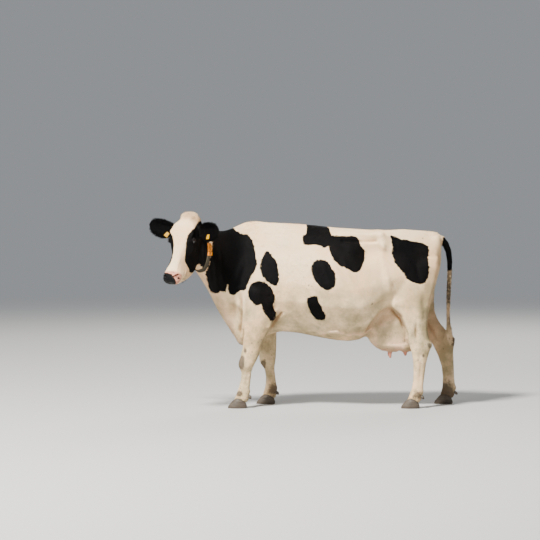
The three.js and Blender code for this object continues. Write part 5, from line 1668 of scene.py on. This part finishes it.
for _ in range(chin["count"]):
    side = rng.choice([-1, 1])
    start = np.array([rng.uniform(0.46, 0.575), side * rng.uniform(0.02, 0.16), rng.uniform(-0.17, -0.085)])
    aim = np.array([0.52, 0, -0.09])
    hit = muzzleTree.ray_cast(Vector(fromHead(start)), Vector((aim - start) @ headAxes.T).normalized(), 0.3)
    if hit[3]:
        spot = headPlace(np.array([hit[0]]))[0]
        face = np.array(hit[1]) @ headAxes
        lashRoots.append(spot)
        lashNormals.append(np.array([1.0, 0.1 * side, 0.3]))
        lashWays.append(face + np.array([0.3, 0, -0.3]) + rng.normal(0, 0.15, 3))
        lashLong.append(chin["long"] * rng.uniform(0.5, 1.1))
count = len(lashRoots)
lashRoots, lashWays, lashNormals = (np.array(rows) @ headAxes.T for rows in (lashRoots, lashWays, lashNormals))
lashNormals = unit(lashNormals - unit(lashWays) * (lashNormals * unit(lashWays)).sum(1)[:, None])
lashes = makeLocks(
    "lashes_and_whiskers", lashRoots + poll, lashNormals, lashWays, np.array(lashLong), np.full(count, lash["wide"]),
    np.full(count, 0.15), rng.normal(0, 0.06, count), {}, rng.random((count, 2)) * 0.99,
)
lashFinish = Finish("lash hair")
lashColour = lashFinish.mix(lashFinish.noise(40.0), (0.010, 0.009, 0.009), (0.030, 0.025, 0.022))
lashFinish.set(Base_Color=lashColour, Roughness=0.5)
dress(lashes, lashFinish, "black hide")
print("lashes and whiskers")


# ---- floor, lights and camera

studio = {
    "sky": (0.86, 0.90, 0.95, 1), "strength": 0.34, "floor": (0.46, 0.46, 0.45), "radius": 16, "fade": (7.0, 15.5),
}
world = bpy.data.worlds.new("studio")
bpy.context.scene.world = world
world.use_nodes = True
background = world.node_tree.nodes["Background"]
background.inputs["Color"].default_value = studio["sky"]
background.inputs["Strength"].default_value = studio["strength"]
bpy.ops.mesh.primitive_circle_add(vertices=96, radius=studio["radius"], fill_type="NGON", location=(0, 0, 0))
floor = bpy.context.object
paper = Finish("pale floor")
far = paper.add("ShaderNodeVectorMath", operation="LENGTH")
paper.put(paper.place, far.inputs[0])
fade = paper.step(far.outputs["Value"], *studio["fade"])
paper.set(Base_Color=studio["floor"], Roughness=0.9, Alpha=paper.sums("SUBTRACT", 1.0, fade))
floor.data.materials.append(paper.material)
lights = {  # place, power, size, tint
    "key": ((-4.4, -6.4, 10.8), 5200, 2.0, (1.0, 0.965, 0.91)),
    "fill": ((-6, -9, 3.2), 520, 3.0, (1.0, 0.98, 0.95)),
    "rim": ((3, 9, 7), 600, 4.0, (1.0, 0.98, 0.95)),
}
for name, (spot, power, size, tint) in lights.items():
    bpy.ops.object.light_add(type="AREA", location=spot)
    lamp = bpy.context.object
    lamp.name = name
    lamp.data.energy, lamp.data.size, lamp.data.color = power, size, tint
    lamp.rotation_euler = (Vector((0, 0, 0.8)) - lamp.location).to_track_quat("-Z", "Y").to_euler()
view = {"away": 20.0, "height": 2.107, "along": -0.280, "lens": 168, "sensor": 36, "dipSlope": 129 / 2520}
bpy.ops.object.camera_add(location=(view["along"], spineY - view["away"], view["height"]))
camera = bpy.context.object
camera.data.lens, camera.data.sensor_width = view["lens"], view["sensor"]
camera.rotation_euler = (math.radians(90) - math.atan(view["dipSlope"]), 0, 0)
bpy.context.scene.camera = camera
